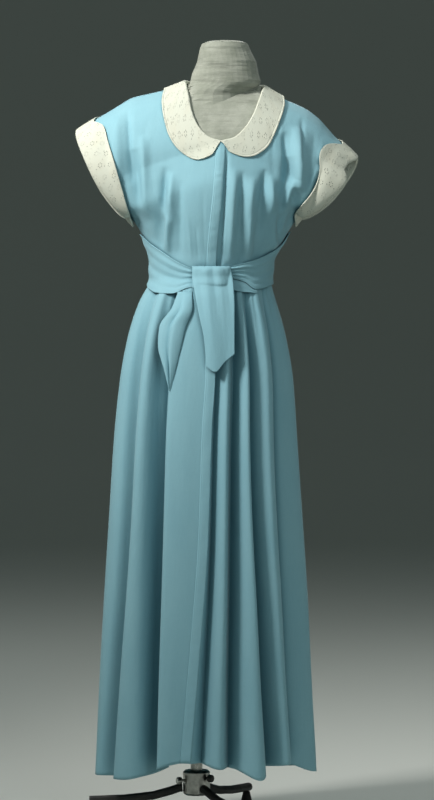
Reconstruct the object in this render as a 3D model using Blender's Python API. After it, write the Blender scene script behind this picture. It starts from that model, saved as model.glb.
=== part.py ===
"""Nurse uniform dress with a tied sash, worn on a limbless dress form on a stand.

Metres, +Z up, the front faces -Y. Every piece of cloth is a thin closed wall, worked out
from the rings of the body, the loops of the sleeves and the fold tables below.
Left and right are those of someone who looks at the front.
"""
import math

import bpy
import numpy as np
from mathutils import Vector
from mathutils.bvhtree import BVHTree

# Main sizes
WALL = 0.0014
SEAM_GAP = 0.0003
LAYER_GAP = 0.0009
WAIST = 1.147
ARM_LEVEL = 1.280
LEFT, RIGHT = -1, 1
FRONT, BACK = -1, 1

# Rings of the dress over the body: height, left, right, front and back reach
BODY = (
    (0.050, -0.247, 0.201, 0.208, 0.208),
    (0.134, -0.243, 0.198, 0.204, 0.204),
    (0.302, -0.237, 0.190, 0.196, 0.196),
    (0.470, -0.230, 0.184, 0.188, 0.188),
    (0.638, -0.222, 0.175, 0.180, 0.180),
    (0.806, -0.213, 0.165, 0.168, 0.168),
    (0.932, -0.201, 0.157, 0.155, 0.155),
    (1.016, -0.186, 0.143, 0.142, 0.142),
    (1.058, -0.175, 0.133, 0.132, 0.130),
    (1.100, -0.160, 0.121, 0.118, 0.112),
    (1.125, -0.147, 0.115, 0.106, 0.099),
    (1.147, -0.138, 0.113, 0.098, 0.092),
    (1.184, -0.139, 0.117, 0.104, 0.094),
    (1.222, -0.150, 0.138, 0.116, 0.098),
    (1.260, -0.171, 0.160, 0.125, 0.102),
    (1.280, -0.190, 0.177, 0.129, 0.105),
)

# Closing line of the fly down the front: height, x
CLOSING = (
    (0.050, -0.070), (0.115, -0.066), (0.353, -0.047), (0.600, -0.029), (0.834, -0.021),
    (0.947, -0.014), (1.169, -0.012), (1.321, 0.001), (1.423, 0.008),
)
STRIP_HALF = 0.010
STRIP_TOP_RISE = 0.34

# Centre front and centre back above the underarm: height, reach
CHEST = ((1.280, 0.129), (1.330, 0.131), (1.380, 0.122), (1.423, 0.109))
SPINE = ((1.280, 0.105), (1.360, 0.108), (1.440, 0.103), (1.500, 0.088), (1.553, 0.066))
NECK_RISE = {FRONT: 0.42, BACK: 0.80}

# Necklines from the centre to the shoulder: share of the way, x, y, height
NECKLINE = {
    (LEFT, FRONT): (
        (0.00, 0.008, -0.109, 1.423), (0.20, -0.014, -0.105, 1.430), (0.42, -0.035, -0.096, 1.449),
        (0.62, -0.052, -0.078, 1.483), (0.82, -0.061, -0.045, 1.527), (1.00, -0.067, 0.004, 1.560),
    ),
    (RIGHT, FRONT): (
        (0.00, 0.008, -0.109, 1.423), (0.20, 0.034, -0.105, 1.430), (0.42, 0.056, -0.096, 1.449),
        (0.62, 0.077, -0.078, 1.483), (0.82, 0.091, -0.045, 1.522), (1.00, 0.100, 0.004, 1.550),
    ),
    (LEFT, BACK): (
        (0.00, 0.016, 0.066, 1.553), (0.35, -0.022, 0.062, 1.557), (0.70, -0.052, 0.042, 1.561),
        (1.00, -0.067, 0.004, 1.560),
    ),
    (RIGHT, BACK): (
        (0.00, 0.016, 0.066, 1.553), (0.35, 0.055, 0.062, 1.554), (0.70, 0.085, 0.042, 1.554),
        (1.00, 0.100, 0.004, 1.550),
    ),
}
BACK_CENTRE = (-0.006, 0.016)

# Sleeve hems: x and height of the shoulder end, bow of the loop
SLEEVE = {LEFT: (-0.290, 1.458, 0.018), RIGHT: (0.292, 1.404, 0.022)}
SLEEVE_DEPTH = 0.075
# How far the front of the right sleeve's hem gapes inwards below the shoulder:
# turn from the shoulder, distance
MOUTH = ((0.00, 0.000), (0.10, 0.003), (0.19, 0.020), (0.27, 0.022), (0.36, 0.008), (0.44, 0.000),
         (1.00, 0.000))
# Rise of the shoulder line over a straight one, from the neck to the sleeve's hem
SHOULDER_BOW = {
    LEFT: ((0.0, 0.0), (0.19, 0.002), (0.34, 0.009), (0.52, 0.0165), (0.62, 0.013), (0.80, 0.007),
           (1.0, 0.0)),
    RIGHT: ((0.0, 0.0), (0.20, 0.004), (0.35, 0.013), (0.50, 0.0195), (0.58, 0.0190), (0.69, 0.012),
            (0.78, 0.006), (1.0, 0.0)),
}

# Soft folds of the bodice: start x, start height, end x, end height, width, reach
BODICE_FOLDS = {
    FRONT: (
        (-0.232, 1.500, -0.222, 1.340, 0.013, -0.004),
        (-0.204, 1.480, -0.196, 1.330, 0.014, 0.005),
        (-0.119, 1.380, -0.112, 1.180, 0.013, -0.005),
        (-0.092, 1.370, -0.092, 1.180, 0.013, 0.004),
        (0.030, 1.390, 0.014, 1.170, 0.011, -0.005),
        (0.055, 1.360, 0.047, 1.180, 0.012, 0.003),
        (0.081, 1.380, 0.073, 1.180, 0.012, -0.005),
        (0.122, 1.440, 0.127, 1.230, 0.012, -0.006),
        (0.142, 1.440, 0.145, 1.240, 0.012, 0.006),
        (0.163, 1.440, 0.162, 1.250, 0.012, -0.005),
        (0.190, 1.430, 0.176, 1.270, 0.013, 0.004),
    ),
    BACK: (
        (-0.205, 1.440, -0.186, 1.320, 0.014, 0.005),
        (-0.170, 1.430, -0.148, 1.230, 0.014, -0.005),
        (-0.095, 1.360, -0.080, 1.180, 0.014, -0.004),
        (-0.055, 1.330, -0.045, 1.180, 0.014, 0.004),
        (0.060, 1.340, 0.045, 1.180, 0.014, 0.004),
        (0.095, 1.360, 0.080, 1.180, 0.014, -0.004),
        (0.160, 1.420, 0.140, 1.230, 0.014, -0.005),
        (0.200, 1.420, 0.183, 1.310, 0.014, 0.005),
    ),
}

# Folds of the skirt round the body, 0 in front and 90 at the right side:
# angle at the waist, the middle and the hem in degrees, reach there in millimetres
FOLD_HEIGHTS = (0.115, 0.680, WAIST)
FOLDS_LEFT = (
    (-90, -90, -90, 0.0, -4.0, -10.0),
    (-71, -69, -69, 1.0, 6.0, 12.0),
    (-55, -52, -59, -1.0, -4.0, -8.0),
    (-42, -44, -51, 1.0, 6.0, 10.0),
    (-29, -28.5, -29, -1.5, -13.0, -24.0),
    (-21, -22, -23.5, 1.0, 8.0, 14.0),
)
STRIP_REACH = (1.0, 4.0, 6.0)
FOLDS_RIGHT = (
    (8, 4, -3.5, -1.0, -12.0, -22.0),
    (15, 11.5, 6, 1.0, 6.0, 12.0),
    (23, 18, 14, -1.5, -12.0, -20.0),
    (29, 27.5, 28, 1.0, 5.0, 10.0),
    (36, 33, 39.5, -1.5, -10.0, -16.0),
    (46, 42, 46, 1.0, 5.0, 10.0),
    (60, 53, 56, -1.0, -6.0, -12.0),
    (74, 72, 71, 1.0, 6.0, 12.0),
    (90, 90, 90, 0.0, -4.0, -8.0),
)
FOLDS_BACK = (
    (105, 105, 105, 1.0, 6.0, 13.0),
    (122, 121, 120, -1.5, -9.0, -18.0),
    (139, 138, 136, 1.0, 5.0, 11.0),
    (156, 155, 154, -1.5, -10.0, -20.0),
    (172, 171, 172, 1.0, 6.0, 12.0),
    (189, 190, 191, -1.5, -11.0, -21.0),
    (206, 207, 208, 1.0, 6.0, 12.0),
    (222, 222, 224, -1.5, -9.0, -17.0),
    (238, 239, 239, 1.0, 5.0, 11.0),
    (255, 256, 256, -1.0, -6.0, -13.0),
    (270, 270, 270, 0.0, -4.0, -10.0),
)
FOLD_STEPS = 4
STRIP_STEPS = 2
SKIRT_ROWS = (0.0, 0.02, 0.05, 0.10, 0.18, 0.29, 0.43, 0.60, 0.80, 1.0)

# Height of the hem round the body: angle, height
HEM = (
    (-90, 0.120), (-62, 0.114), (-46, 0.114), (-28, 0.138), (-12, 0.155), (-3, 0.152), (6, 0.143),
    (16, 0.140), (28, 0.118), (40, 0.140), (52, 0.147), (68, 0.122), (90, 0.115), (130, 0.110),
    (180, 0.106), (230, 0.110), (270, 0.120),
)

# Outer edge of the collar from the front to the shoulder: share, x, height
COLLAR_EDGE = {
    LEFT: (
        (0.00, 0.004, 1.4175), (0.08, -0.0116, 1.393), (0.20, -0.039, 1.384),
        (0.42, -0.079, 1.406), (0.60, -0.104, 1.449), (0.82, -0.1145, 1.509), (1.00, -0.110, 1.543),
    ),
    RIGHT: (
        (0.00, 0.0126, 1.4175), (0.08, 0.0284, 1.399), (0.20, 0.060, 1.390),
        (0.42, 0.098, 1.406), (0.60, 0.123, 1.449), (0.82, 0.1407, 1.509), (1.00, 0.1386, 1.529),
    ),
}
# The same edge at the back, from the shoulder to the centre: share, rise, across
COLLAR_BACK = ((0.00, 1.00, 0.190), (0.30, 0.93, 0.185), (0.60, 0.84, 0.155), (1.00, 0.68, 0.000))
COLLAR_STATIONS = (0, 0.04, 0.08, 0.14, 0.2, 0.3, 0.42, 0.52, 0.62, 0.72, 0.82, 0.91, 1.0)
COLLAR_WALL = 0.0015
COLLAR_BACK_LIFT = 0.0014
COLLAR_EDGE_LIFT = 0.0016

# Section of a cuff from the inside of the sleeve over its fold to its free edge:
# distance in from the hem and lift, for the outer and the inner face
CUFF_SECTION = (
    (0.012, -0.0038, 0.012, -0.0023),
    (-0.001, -0.0038, 0.000, -0.0023),
    (-0.004, -0.0005, -0.0022, -0.0005),
    (-0.001, 0.0030, 0.000, 0.0010),
    (0.014, 0.0040, 0.014, 0.0022),
    (0.034, 0.0046, 0.034, 0.0030),
    (0.060, 0.0044, 0.060, 0.0028),
)
CUFF_WIDTH = 0.060
CUFF_LOOSE = 1.5
# Share of the cuff's width from the shoulder line to the underarm, with the notch in front
CUFF_SHAPE = {
    FRONT: (
        (0.00, 0.68), (0.085, 0.63), (0.105, 0.66), (0.125, 0.93), (0.15, 1.00), (0.38, 0.98),
        (0.50, 0.86), (0.61, 0.70), (0.75, 0.58), (0.90, 0.55), (1.00, 0.55),
    ),
    BACK: ((0.00, 0.68), (0.05, 0.85), (0.12, 1.00), (0.60, 0.95), (0.80, 0.70), (1.00, 0.55)),
}
CUFF_DROP = ((0.00, 0.00), (0.55, 0.00), (0.80, 0.08), (1.00, 0.16))
CUFF_INWARD = ((0.00, 1.00), (0.60, 0.95), (0.85, 0.45), (1.00, 0.00))

# Sash round the waist: angle, lower and upper edge
SASH = (
    (-9, 1.124, 1.160), (-18, 1.122, 1.163), (-32, 1.110, 1.176), (-51, 1.113, 1.199),
    (-64, 1.120, 1.214), (-90, 1.134, 1.240), (-130, 1.130, 1.222), (-180, 1.126, 1.214),
    (-230, 1.130, 1.226), (-270, 1.134, 1.244), (-282, 1.132, 1.214), (-315, 1.120, 1.182),
    (-328, 1.135, 1.174), (-344, 1.142, 1.166), (-353, 1.142, 1.164),
)
SASH_LIFT = 0.0030
SASH_WALL = 0.0016
SASH_STEPS = 46
UNDER_LAYER = ((14, 1.121), (32, 1.113), (47, 1.112))
UNDER_LAYER_LEAST = 0.004
KNOT_X = (-0.049, 0.024)
KNOT_Z = (1.121, 1.166)
KNOT_BULGE = 0.012
KNOT_WIDER = 0.94

# Front end of the sash: height, left, right edge, lift over the body
TAIL_FRONT = (
    (0.940, -0.020, 0.0315, 0.0150), (1.014, -0.026, 0.0305, 0.0155), (1.075, -0.037, 0.0300, 0.0165),
    (1.134, -0.045, 0.0270, 0.0180), (1.166, -0.0475, 0.0235, 0.0120),
)
TAIL_FRONT_END = ((0.00, 0.958), (0.29, 0.947), (0.65, 0.967), (1.00, 0.984))
# Side end of the sash: height, left, right edge, depth of its fold
TAIL_SIDE = (
    (0.909, -0.0925, -0.0905, 0.001), (0.950, -0.0998, -0.0810, 0.004), (1.004, -0.1115, -0.0690, 0.008),
    (1.040, -0.1090, -0.0610, 0.009), (1.080, -0.0870, -0.0480, 0.007), (1.110, -0.0790, -0.0500, 0.001),
)

# Rings of the dress form: height, left, right, front and back reach
FORM = (
    (0.860, -0.180, 0.136, 0.112, 0.118), (0.868, -0.186, 0.142, 0.118, 0.124),
    (0.950, -0.187, 0.143, 0.118, 0.125), (1.010, -0.172, 0.135, 0.110, 0.113),
    (1.060, -0.153, 0.122, 0.100, 0.098), (1.147, -0.130, 0.105, 0.090, 0.084),
    (1.190, -0.132, 0.110, 0.096, 0.086), (1.230, -0.145, 0.132, 0.108, 0.090),
    (1.270, -0.158, 0.152, 0.118, 0.095), (1.320, -0.168, 0.166, 0.124, 0.099),
    (1.370, -0.174, 0.175, 0.117, 0.101), (1.410, -0.178, 0.180, 0.106, 0.099),
    (1.445, -0.182, 0.181, 0.096, 0.096), (1.475, -0.184, 0.178, 0.085, 0.091),
    (1.492, -0.182, 0.172, 0.078, 0.086), (1.505, -0.178, 0.164, 0.073, 0.082),
    (1.513, -0.172, 0.156, 0.069, 0.079), (1.520, -0.164, 0.146, 0.066, 0.076),
    (1.526, -0.155, 0.137, 0.063, 0.073), (1.531, -0.144, 0.129, 0.061, 0.071),
    (1.536, -0.130, 0.120, 0.059, 0.069), (1.541, -0.112, 0.111, 0.057, 0.067),
    (1.547, -0.082, 0.103, 0.053, 0.064), (1.553, -0.066, 0.097, 0.051, 0.061),
    (1.560, -0.056, 0.092, 0.049, 0.057),
    (1.577, -0.052, 0.087, 0.049, 0.055), (1.600, -0.042, 0.083, 0.048, 0.053),
    (1.628, -0.036, 0.069, 0.046, 0.051), (1.638, -0.032, 0.065, 0.043, 0.048),
    (1.642, -0.022, 0.055, 0.034, 0.040),
)
# Root of the form's neck, which stands out of the neckline
NECK_ROOT = (
    (1.445, -0.080, 0.110, 0.070, 0.070), (1.500, -0.060, 0.098, 0.056, 0.062),
    (1.560, -0.056, 0.092, 0.049, 0.057),
)
FORM_COLUMNS = 36
BIB_CLEARANCE = 0.0040
# How far the form stays in from the cloth towards the neck: height, left, right
FORM_EASE = ((1.500, 0.000, 0.000), (1.512, 0.004, 0.001), (1.530, 0.007, 0.003),
             (1.540, 0.013, 0.005), (1.560, 0.015, 0.008))
FORM_CLEARANCE = 0.0008

# Stand
POST_X = -0.043
POST_RADIUS = 0.0125
HUB_RADIUS = 0.0285
HUB_BOTTOM, HUB_TOP = 0.062, 0.113
LEG_COUNT = 3
LEG_RADIUS = 0.009
LEG_PATH = ((0.0297, 0.0765), (0.036, 0.0762), (0.054, 0.070), (0.090, 0.060), (0.150, 0.053), (0.225, 0.050))
FOOT_RADIUS = 0.012
FOOT_AT = 0.214


def srgb(red, green, blue):
    """Screen colour of 0 to 255 as the linear one that a material holds."""
    def linear(value):
        share = value / 255
        return share / 12.92 if share <= 0.04045 else ((share + 0.055) / 1.055) ** 2.4
    return (linear(red), linear(green), linear(blue), 1.0)


# Materials: colour, roughness, metallic
MATERIALS = {
    "blue_cotton": (srgb(134, 181, 201), 0.82, 0.0),
    "white_eyelet_cotton": (srgb(226, 229, 214), 0.85, 0.0),
    "grey_jersey": (srgb(158, 162, 152), 0.90, 0.0),
    "bright_steel": (srgb(196, 196, 190), 0.28, 1.0),
    "dark_paint": (srgb(52, 52, 48), 0.45, 0.0),
    "black_rubber": (srgb(30, 30, 30), 0.70, 0.0),
}


def smooth(at, places, values):
    """Cubic curve through the points, with slopes limited so that it never overshoots."""
    places = np.asarray(places, float)
    values = np.asarray(values, float)
    at = np.clip(np.asarray(at, float), places[0], places[-1])
    step = np.diff(places)
    rate = np.diff(values) / step
    slope = np.zeros_like(values)
    same = rate[:-1] * rate[1:] > 0
    total = np.where(same, rate[:-1] + rate[1:], 1.0)
    slope[1:-1] = np.where(same, 2 * rate[:-1] * rate[1:] / total, 0.0)
    slope[0], slope[-1] = rate[0], rate[-1]
    spot = np.clip(np.searchsorted(places, at, side="right") - 1, 0, len(step) - 1)
    s = (at - places[spot]) / step[spot]
    start = values[spot] * (1 + 2 * s) * (1 - s) ** 2 + slope[spot] * step[spot] * s * (1 - s) ** 2
    end = values[spot + 1] * s * s * (3 - 2 * s) + slope[spot + 1] * step[spot] * s * s * (s - 1)
    return start + end


def curve(table, at, column=1):
    """One column of a table, as a smooth curve over its first column."""
    rows = np.asarray(table, float)
    if rows[0, 0] > rows[-1, 0]:
        rows = rows[::-1]
    return smooth(at, rows[:, 0], rows[:, column])


def ring(angle, height, lift=0.0):
    """Point of the dress's base surface at an angle in radians and a height."""
    left, right = curve(BODY, height, 1), curve(BODY, height, 2)
    depth = np.where(np.cos(angle) > 0, curve(BODY, height, 3), curve(BODY, height, 4))
    x = (left + right) / 2 + ((right - left) / 2 + lift) * np.sin(angle)
    y = -(depth + lift) * np.cos(angle)
    return np.stack(np.broadcast_arrays(x, y, height), axis=-1)


def angle_at(x, height):
    """Angle of the ring where the front of the dress has this x."""
    left, right = curve(BODY, height, 1), curve(BODY, height, 2)
    return np.arcsin(np.clip((x - (left + right) / 2) * 2 / (right - left), -1, 1))


def inner_edge(side, face, rise):
    """Centre line of the bodice up to the neckline, then the neckline to the shoulder."""
    start = NECK_RISE[face]
    line = CHEST if face == FRONT else SPINE
    below = np.clip(rise / start, 0, 1)
    low = np.clip(1 + rise, 0, 1)
    height = np.where(rise < 0, WAIST + (ARM_LEVEL - WAIST) * low,
                      line[0][0] + (line[-1][0] - line[0][0]) * below)
    if face == FRONT:
        x = curve(CLOSING, height)
    else:
        x = BACK_CENTRE[0] + (BACK_CENTRE[1] - BACK_CENTRE[0]) * below
    y = face * curve(line, height)
    neck = np.clip((rise - start) / (1 - start), 0, 1)
    table = NECKLINE[side, face]
    on_neck = rise > start
    x = np.where(on_neck, curve(table, neck, 1), x)
    y = np.where(on_neck, curve(table, neck, 2), y)
    height = np.where(on_neck, curve(table, neck, 3), height)
    return x, y, height


def outer_edge(side, face, rise):
    """Side seam of the bodice up to the underarm, then the sleeve's hem to the shoulder."""
    tip_x, tip_z, bow = SLEEVE[side]
    low_x = float(curve(BODY, ARM_LEVEL, 1 if side == LEFT else 2))
    turn = math.pi * (1 - np.clip(rise, 0, 1))
    share = (1 + np.cos(turn)) / 2
    run_x, run_z = tip_x - low_x, tip_z - ARM_LEVEL
    length = math.hypot(run_x, run_z)
    out_x, out_z = side * abs(run_z) / length, -abs(run_x) / length
    x = low_x + run_x * share + bow * out_x * np.sin(turn)
    z = ARM_LEVEL + run_z * share + bow * out_z * np.sin(turn)
    if side == RIGHT and face == FRONT:
        x = x - curve(MOUTH, 1 - np.clip(rise, 0, 1))
    return x, face * SLEEVE_DEPTH * np.sin(turn), z


def bodice_base(side, face, rise, across):
    """Base surface of the bodice. Rise is -1 at the waist, 0 at the underarm and 1 on the
    shoulder line; across is 0 on the centre or neckline and 1 on the side seam or sleeve hem."""
    rise, across = np.broadcast_arrays(np.asarray(rise, float), np.asarray(across, float))
    in_x, in_y, in_z = inner_edge(side, face, rise)
    out_x, out_y, out_z = outer_edge(side, face, rise)
    level = np.where(rise < 0, in_z, ARM_LEVEL)
    left, right = curve(BODY, level, 1), curve(BODY, level, 2)
    centre, half = (left + right) / 2, (right - left) / 2
    side_x = left if side == LEFT else right
    start_x = np.where(rise < 0, in_x, float(curve(CLOSING, ARM_LEVEL)) if face == FRONT else centre)
    if face == BACK:
        in_x = np.where(rise < 0, centre, in_x)
        start_x = centre
    ring_x = start_x + (side_x - start_x) * across
    round_off = np.sqrt(np.clip(1 - ((ring_x - centre) / half) ** 2, 0, 1))
    depth = curve(BODY, level, 3 if face == FRONT else 4)
    low = np.stack((ring_x, face * depth * round_off, in_z), axis=-1)
    blend = np.clip(rise / 0.5, 0, 1)
    blend = blend * blend * (3 - 2 * blend)
    profile = (1 - blend) * round_off + blend * (1 - across ** 2)
    bow = curve(SHOULDER_BOW[side], across) * np.clip(rise, 0, 1) ** 3
    high = np.stack((in_x + (out_x - in_x) * across, out_y + (in_y - out_y) * profile,
                     in_z + (out_z - in_z) * across + bow), axis=-1)
    return np.where((rise < 0)[..., None], low, high)


def surface_normal(point_of, first, second, outward):
    """Unit normal of a surface of two parameters, turned to the side of the outward sign in y."""
    step = 0.004
    a0, a1 = np.clip(first - step, -1, 1), np.clip(first + step, -1, 1)
    b0, b1 = np.clip(second - step, 0, 1), np.clip(second + step, 0, 1)
    along = point_of(a1, second) - point_of(a0, second)
    over = point_of(first, b1) - point_of(first, b0)
    normal = np.cross(along, over) * outward
    return normal / np.maximum(np.linalg.norm(normal, axis=-1, keepdims=True), 1e-12)


def fold_reach(face, points):
    """Depth of the soft folds of one face of the bodice at these points."""
    reach = np.zeros(points.shape[:-1])
    for x1, z1, x2, z2, width, height in BODICE_FOLDS[face]:
        along = np.array((x2 - x1, z2 - z1))
        length = np.linalg.norm(along)
        along = along / length
        dx, dz = points[..., 0] - x1, points[..., 2] - z1
        share = np.clip((dx * along[0] + dz * along[1]) / length, 0, 1)
        aside = dx * along[1] - dz * along[0]
        reach += height * np.exp(-(aside / width) ** 2) * (1 - np.abs(2 * share - 1) ** 3)
    calm = np.clip((points[..., 2] - WAIST) / 0.09, 0.25, 1)
    return reach * calm


def bodice_cloth(side, face, rise, across):
    """Surface of the bodice with its folds."""
    base = bodice_base(side, face, rise, across)
    normal = surface_normal(lambda a, b: bodice_base(side, face, a, b), rise, across, side * face)
    edge = np.clip(np.minimum(across, 1 - across) / 0.05, 0, 1) * np.clip((1 - rise) / 0.2, 0, 1)
    return base + normal * (fold_reach(face, base) * edge)[..., None]


def bodice_normal(side, face, rise, across):
    """Outward normal of the folded bodice."""
    return surface_normal(lambda a, b: bodice_cloth(side, face, a, b), rise, across, side * face)


RISES = np.array((-1.0, -0.8, -0.6, -0.4, -0.2, 0.0, 0.07, 0.15, 0.25, 0.34, 0.42, 0.50, 0.60,
                  0.70, 0.80, 0.90, 1.0))
UNDERARM_ROWS = int(np.sum(RISES <= 0))


def bodice_columns(side, face, rise):
    """Places across a row: the fly strip, even steps, then closer ones round the side."""
    in_x, _, in_z = inner_edge(side, face, rise)
    out_x, _, out_z = outer_edge(side, face, rise)
    side_x = curve(BODY, in_z, 1 if side == LEFT else 2)
    reach = abs(side_x - in_x) if rise < 0 else math.hypot(out_x - in_x, out_z - in_z)
    strip = STRIP_HALF / float(reach)
    turn = 0.72
    middle = np.linspace(strip, turn, 11)
    even = np.linspace(turn, 1, 5)[1:]
    rounded = np.sin(np.linspace(math.asin(turn), math.pi / 2, 5))[1:]
    blend = min(max(rise / 0.5, 0), 1)
    return np.concatenate(((0, strip / 2), middle, rounded * (1 - blend) + even * blend))


def bodice_grid(side, face):
    """Rows of points of one quarter of the bodice, with their rise and across."""
    across = np.array([bodice_columns(side, face, rise) for rise in RISES])
    rise = np.repeat(RISES[:, None], across.shape[1], axis=1)
    return bodice_cloth(side, face, rise, across), bodice_base(side, face, rise, across)


def welded_normals(grids):
    """Outward normals of grids that share edges, averaged where their points meet."""
    flat = np.vstack([grid.reshape(-1, 3) for grid in grids])
    _, index = np.unique(np.round(flat, 5), axis=0, return_inverse=True)
    index = index.ravel()
    totals = np.zeros((index.max() + 1, 3))
    start = 0
    spans = []
    for grid in grids:
        rows, cols = grid.shape[:2]
        ids = index[start:start + rows * cols].reshape(rows, cols)
        start += rows * cols
        spans.append(ids)
        facing = np.cross(grid[1:, 1:] - grid[:-1, :-1], grid[1:, :-1] - grid[:-1, 1:])
        middle = (grid[1:, 1:] + grid[:-1, :-1]) / 2
        if np.sum(facing[..., :2] * middle[..., :2]) < 0:
            facing = -facing
        for corner in (ids[:-1, :-1], ids[:-1, 1:], ids[1:, 1:], ids[1:, :-1]):
            np.add.at(totals, corner.ravel(), facing.reshape(-1, 3))
    totals /= np.maximum(np.linalg.norm(totals, axis=1, keepdims=True), 1e-15)
    return [totals[ids] for ids in spans]


def make_material(name):
    material = bpy.data.materials.new(name)
    material.use_nodes = True
    shader = material.node_tree.nodes["Principled BSDF"]
    colour, roughness, metallic = MATERIALS[name]
    shader.inputs["Base Color"].default_value = colour
    shader.inputs["Roughness"].default_value = roughness
    shader.inputs["Metallic"].default_value = metallic
    return material


def add_object(name, points, faces, material):
    """One named closed solid with its faces turned outwards."""
    points = np.asarray(points, float)
    corners = points[np.asarray(faces)]
    volume = np.sum(corners[:, 0] * np.cross(corners[:, 1], corners[:, 2])) / 6
    if volume < 0:
        faces = [face[::-1] for face in faces]
    mesh = bpy.data.meshes.new(name)
    mesh.from_pydata([tuple(point) for point in points], [], faces)
    mesh.materials.append(materials[material])
    for polygon in mesh.polygons:
        polygon.use_smooth = True
    item = bpy.data.objects.new(name, mesh)
    bpy.context.scene.collection.objects.link(item)
    return item


def shell(name, outer, inner, material, wrap=False):
    """Closed wall between two grids of points, open all round or wrapped in its columns."""
    rows, cols = outer.shape[:2]
    count = rows * cols
    points = np.vstack((outer.reshape(-1, 3), inner.reshape(-1, 3)))

    def at(i, j, layer=0):
        return layer * count + i * cols + j % cols

    faces = []

    def quad(a, b, c, d):
        faces.extend(((a, b, c), (a, c, d)))

    spans = cols if wrap else cols - 1
    for i in range(rows - 1):
        for j in range(spans):
            a, b, c, d = at(i, j), at(i, j + 1), at(i + 1, j + 1), at(i + 1, j)
            quad(a, b, c, d)
            faces.extend(((a + count, c + count, b + count), (a + count, d + count, c + count)))
    for j in range(spans):
        quad(at(0, j + 1), at(0, j), at(0, j, 1), at(0, j + 1, 1))
        quad(at(rows - 1, j), at(rows - 1, j + 1), at(rows - 1, j + 1, 1), at(rows - 1, j, 1))
    if not wrap:
        for i in range(rows - 1):
            quad(at(i, 0), at(i + 1, 0), at(i + 1, 0, 1), at(i, 0, 1))
            quad(at(i + 1, cols - 1), at(i, cols - 1), at(i, cols - 1, 1), at(i + 1, cols - 1, 1))
    return add_object(name, points, faces, material)


def draw_in(grid, first=False, last=0, top=False, bottom=False):
    """Move the seam edges of a grid in by half a seam gap, along the grid. Last is the
    number of rows, from the first on, whose last column is a seam."""
    grid = grid.copy()
    half = SEAM_GAP / 2

    def shift(edge, inside):
        away = inside - edge
        return edge + away / np.maximum(np.linalg.norm(away, axis=-1, keepdims=True), 1e-9) * half

    if first:
        grid[:, 0] = shift(grid[:, 0], grid[:, 1])
    if last:
        grid[:last, -1] = shift(grid[:last, -1], grid[:last, -2])
    if top:
        grid[0] = shift(grid[0], grid[1])
    if bottom:
        grid[-1] = shift(grid[-1], grid[-2])
    return grid


def wall(name, grid, normals, thickness, material, **edges):
    """Cloth wall inwards from a grid, with its seam edges drawn in."""
    inner = draw_in(grid - normals * thickness, **edges)
    return shell(name, draw_in(grid, **edges), inner, material)


def make_bodice():
    """Four quarters of the bodice. Returns their grids and normals."""
    keys = [(side, face) for side in (LEFT, RIGHT) for face in (FRONT, BACK)]
    pairs = [bodice_grid(*key) for key in keys]
    normals = welded_normals([pair[0] for pair in pairs])
    base_normals = welded_normals([pair[1] for pair in pairs])
    quarters = {}
    names = {(LEFT, FRONT): "bodice_front_left", (RIGHT, FRONT): "bodice_front_right",
             (LEFT, BACK): "bodice_back_left", (RIGHT, BACK): "bodice_back_right"}
    for key, pair, normal, base_normal in zip(keys, pairs, normals, base_normals):
        quarters[key] = (pair[0], normal, pair[1] - base_normal * (WALL + FORM_CLEARANCE))
        # The side seam stops at the underarm, where the sleeve's hem begins
        wall(names[key], pair[0], normal, WALL, "blue_cotton", first=True, top=True, bottom=True,
             last=UNDERARM_ROWS)
    return quarters


def make_bodice_strip(quarters):
    """Fly strip of the bodice, from the strip columns of both fronts, moved out."""
    top = int(np.argmin(np.abs(RISES - STRIP_TOP_RISE))) + 1
    left, left_normal, _ = quarters[LEFT, FRONT]
    right, right_normal, _ = quarters[RIGHT, FRONT]
    points = np.concatenate((left[:top, 2:0:-1], left[:top, :1], right[:top, 1:3]), axis=1)
    normals = np.concatenate((left_normal[:top, 2:0:-1], left_normal[:top, :1],
                              right_normal[:top, 1:3]), axis=1)
    inner = points + normals * LAYER_GAP / 2
    outer = inner + normals * WALL
    shell("placket_bodice", draw_in(outer, top=True), draw_in(inner, top=True), "blue_cotton")


def fold_creases(height):
    """Angles and reaches of the skirt's creases at some heights, in radians and metres:
    one row for each height, one column for each crest or trough."""
    height = np.atleast_1d(np.asarray(height, float))
    strip_at = angle_at(curve(CLOSING, height), height)
    half_width = (curve(BODY, height, 2) - curve(BODY, height, 1)) / 2
    strip_reach = smooth(height, FOLD_HEIGHTS, STRIP_REACH[::-1])
    angles, reaches = [], []

    def add(table):
        for row in table:
            angles.append(np.radians(smooth(height, FOLD_HEIGHTS, row[2::-1])))
            reaches.append(smooth(height, FOLD_HEIGHTS, row[5:2:-1]))

    add(FOLDS_LEFT)
    for turn in (-1, 0, 1):
        angles.append(strip_at + turn * STRIP_HALF / half_width)
        reaches.append(strip_reach)
    add(FOLDS_RIGHT)
    add(FOLDS_BACK)
    return np.stack(angles, axis=-1), np.stack(reaches, axis=-1) / 1000


def skirt_columns(height):
    """Angle and reach of every column of the skirt at some heights, a row for each height."""
    creases, depths = fold_creases(height)
    angles, reaches = [], []
    for place in range(creases.shape[1] - 1):
        on_strip = len(FOLDS_LEFT) <= place < len(FOLDS_LEFT) + 2
        steps = STRIP_STEPS if on_strip else FOLD_STEPS
        for share in np.arange(steps) / steps:
            ease = (1 - math.cos(math.pi * share)) / 2
            angles.append(creases[:, place] * (1 - share) + creases[:, place + 1] * share)
            reaches.append(depths[:, place] * (1 - ease) + depths[:, place + 1] * ease)
    return np.stack(angles, axis=-1), np.stack(reaches, axis=-1)


def skirt_grid():
    """Closed grid of the skirt from the waist to the hem, without a doubled last column."""
    hem_angles, _ = skirt_columns(FOLD_HEIGHTS[0])
    hem = curve(HEM, np.degrees(hem_angles[0]))
    column = np.arange(len(hem))
    rows = []
    for share in SKIRT_ROWS:
        height = WAIST + (hem - WAIST) * share
        angles, reaches = skirt_columns(height)
        rows.append(ring(angles[column, column], height, reaches[column, column]))
    return np.array(rows)


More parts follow.
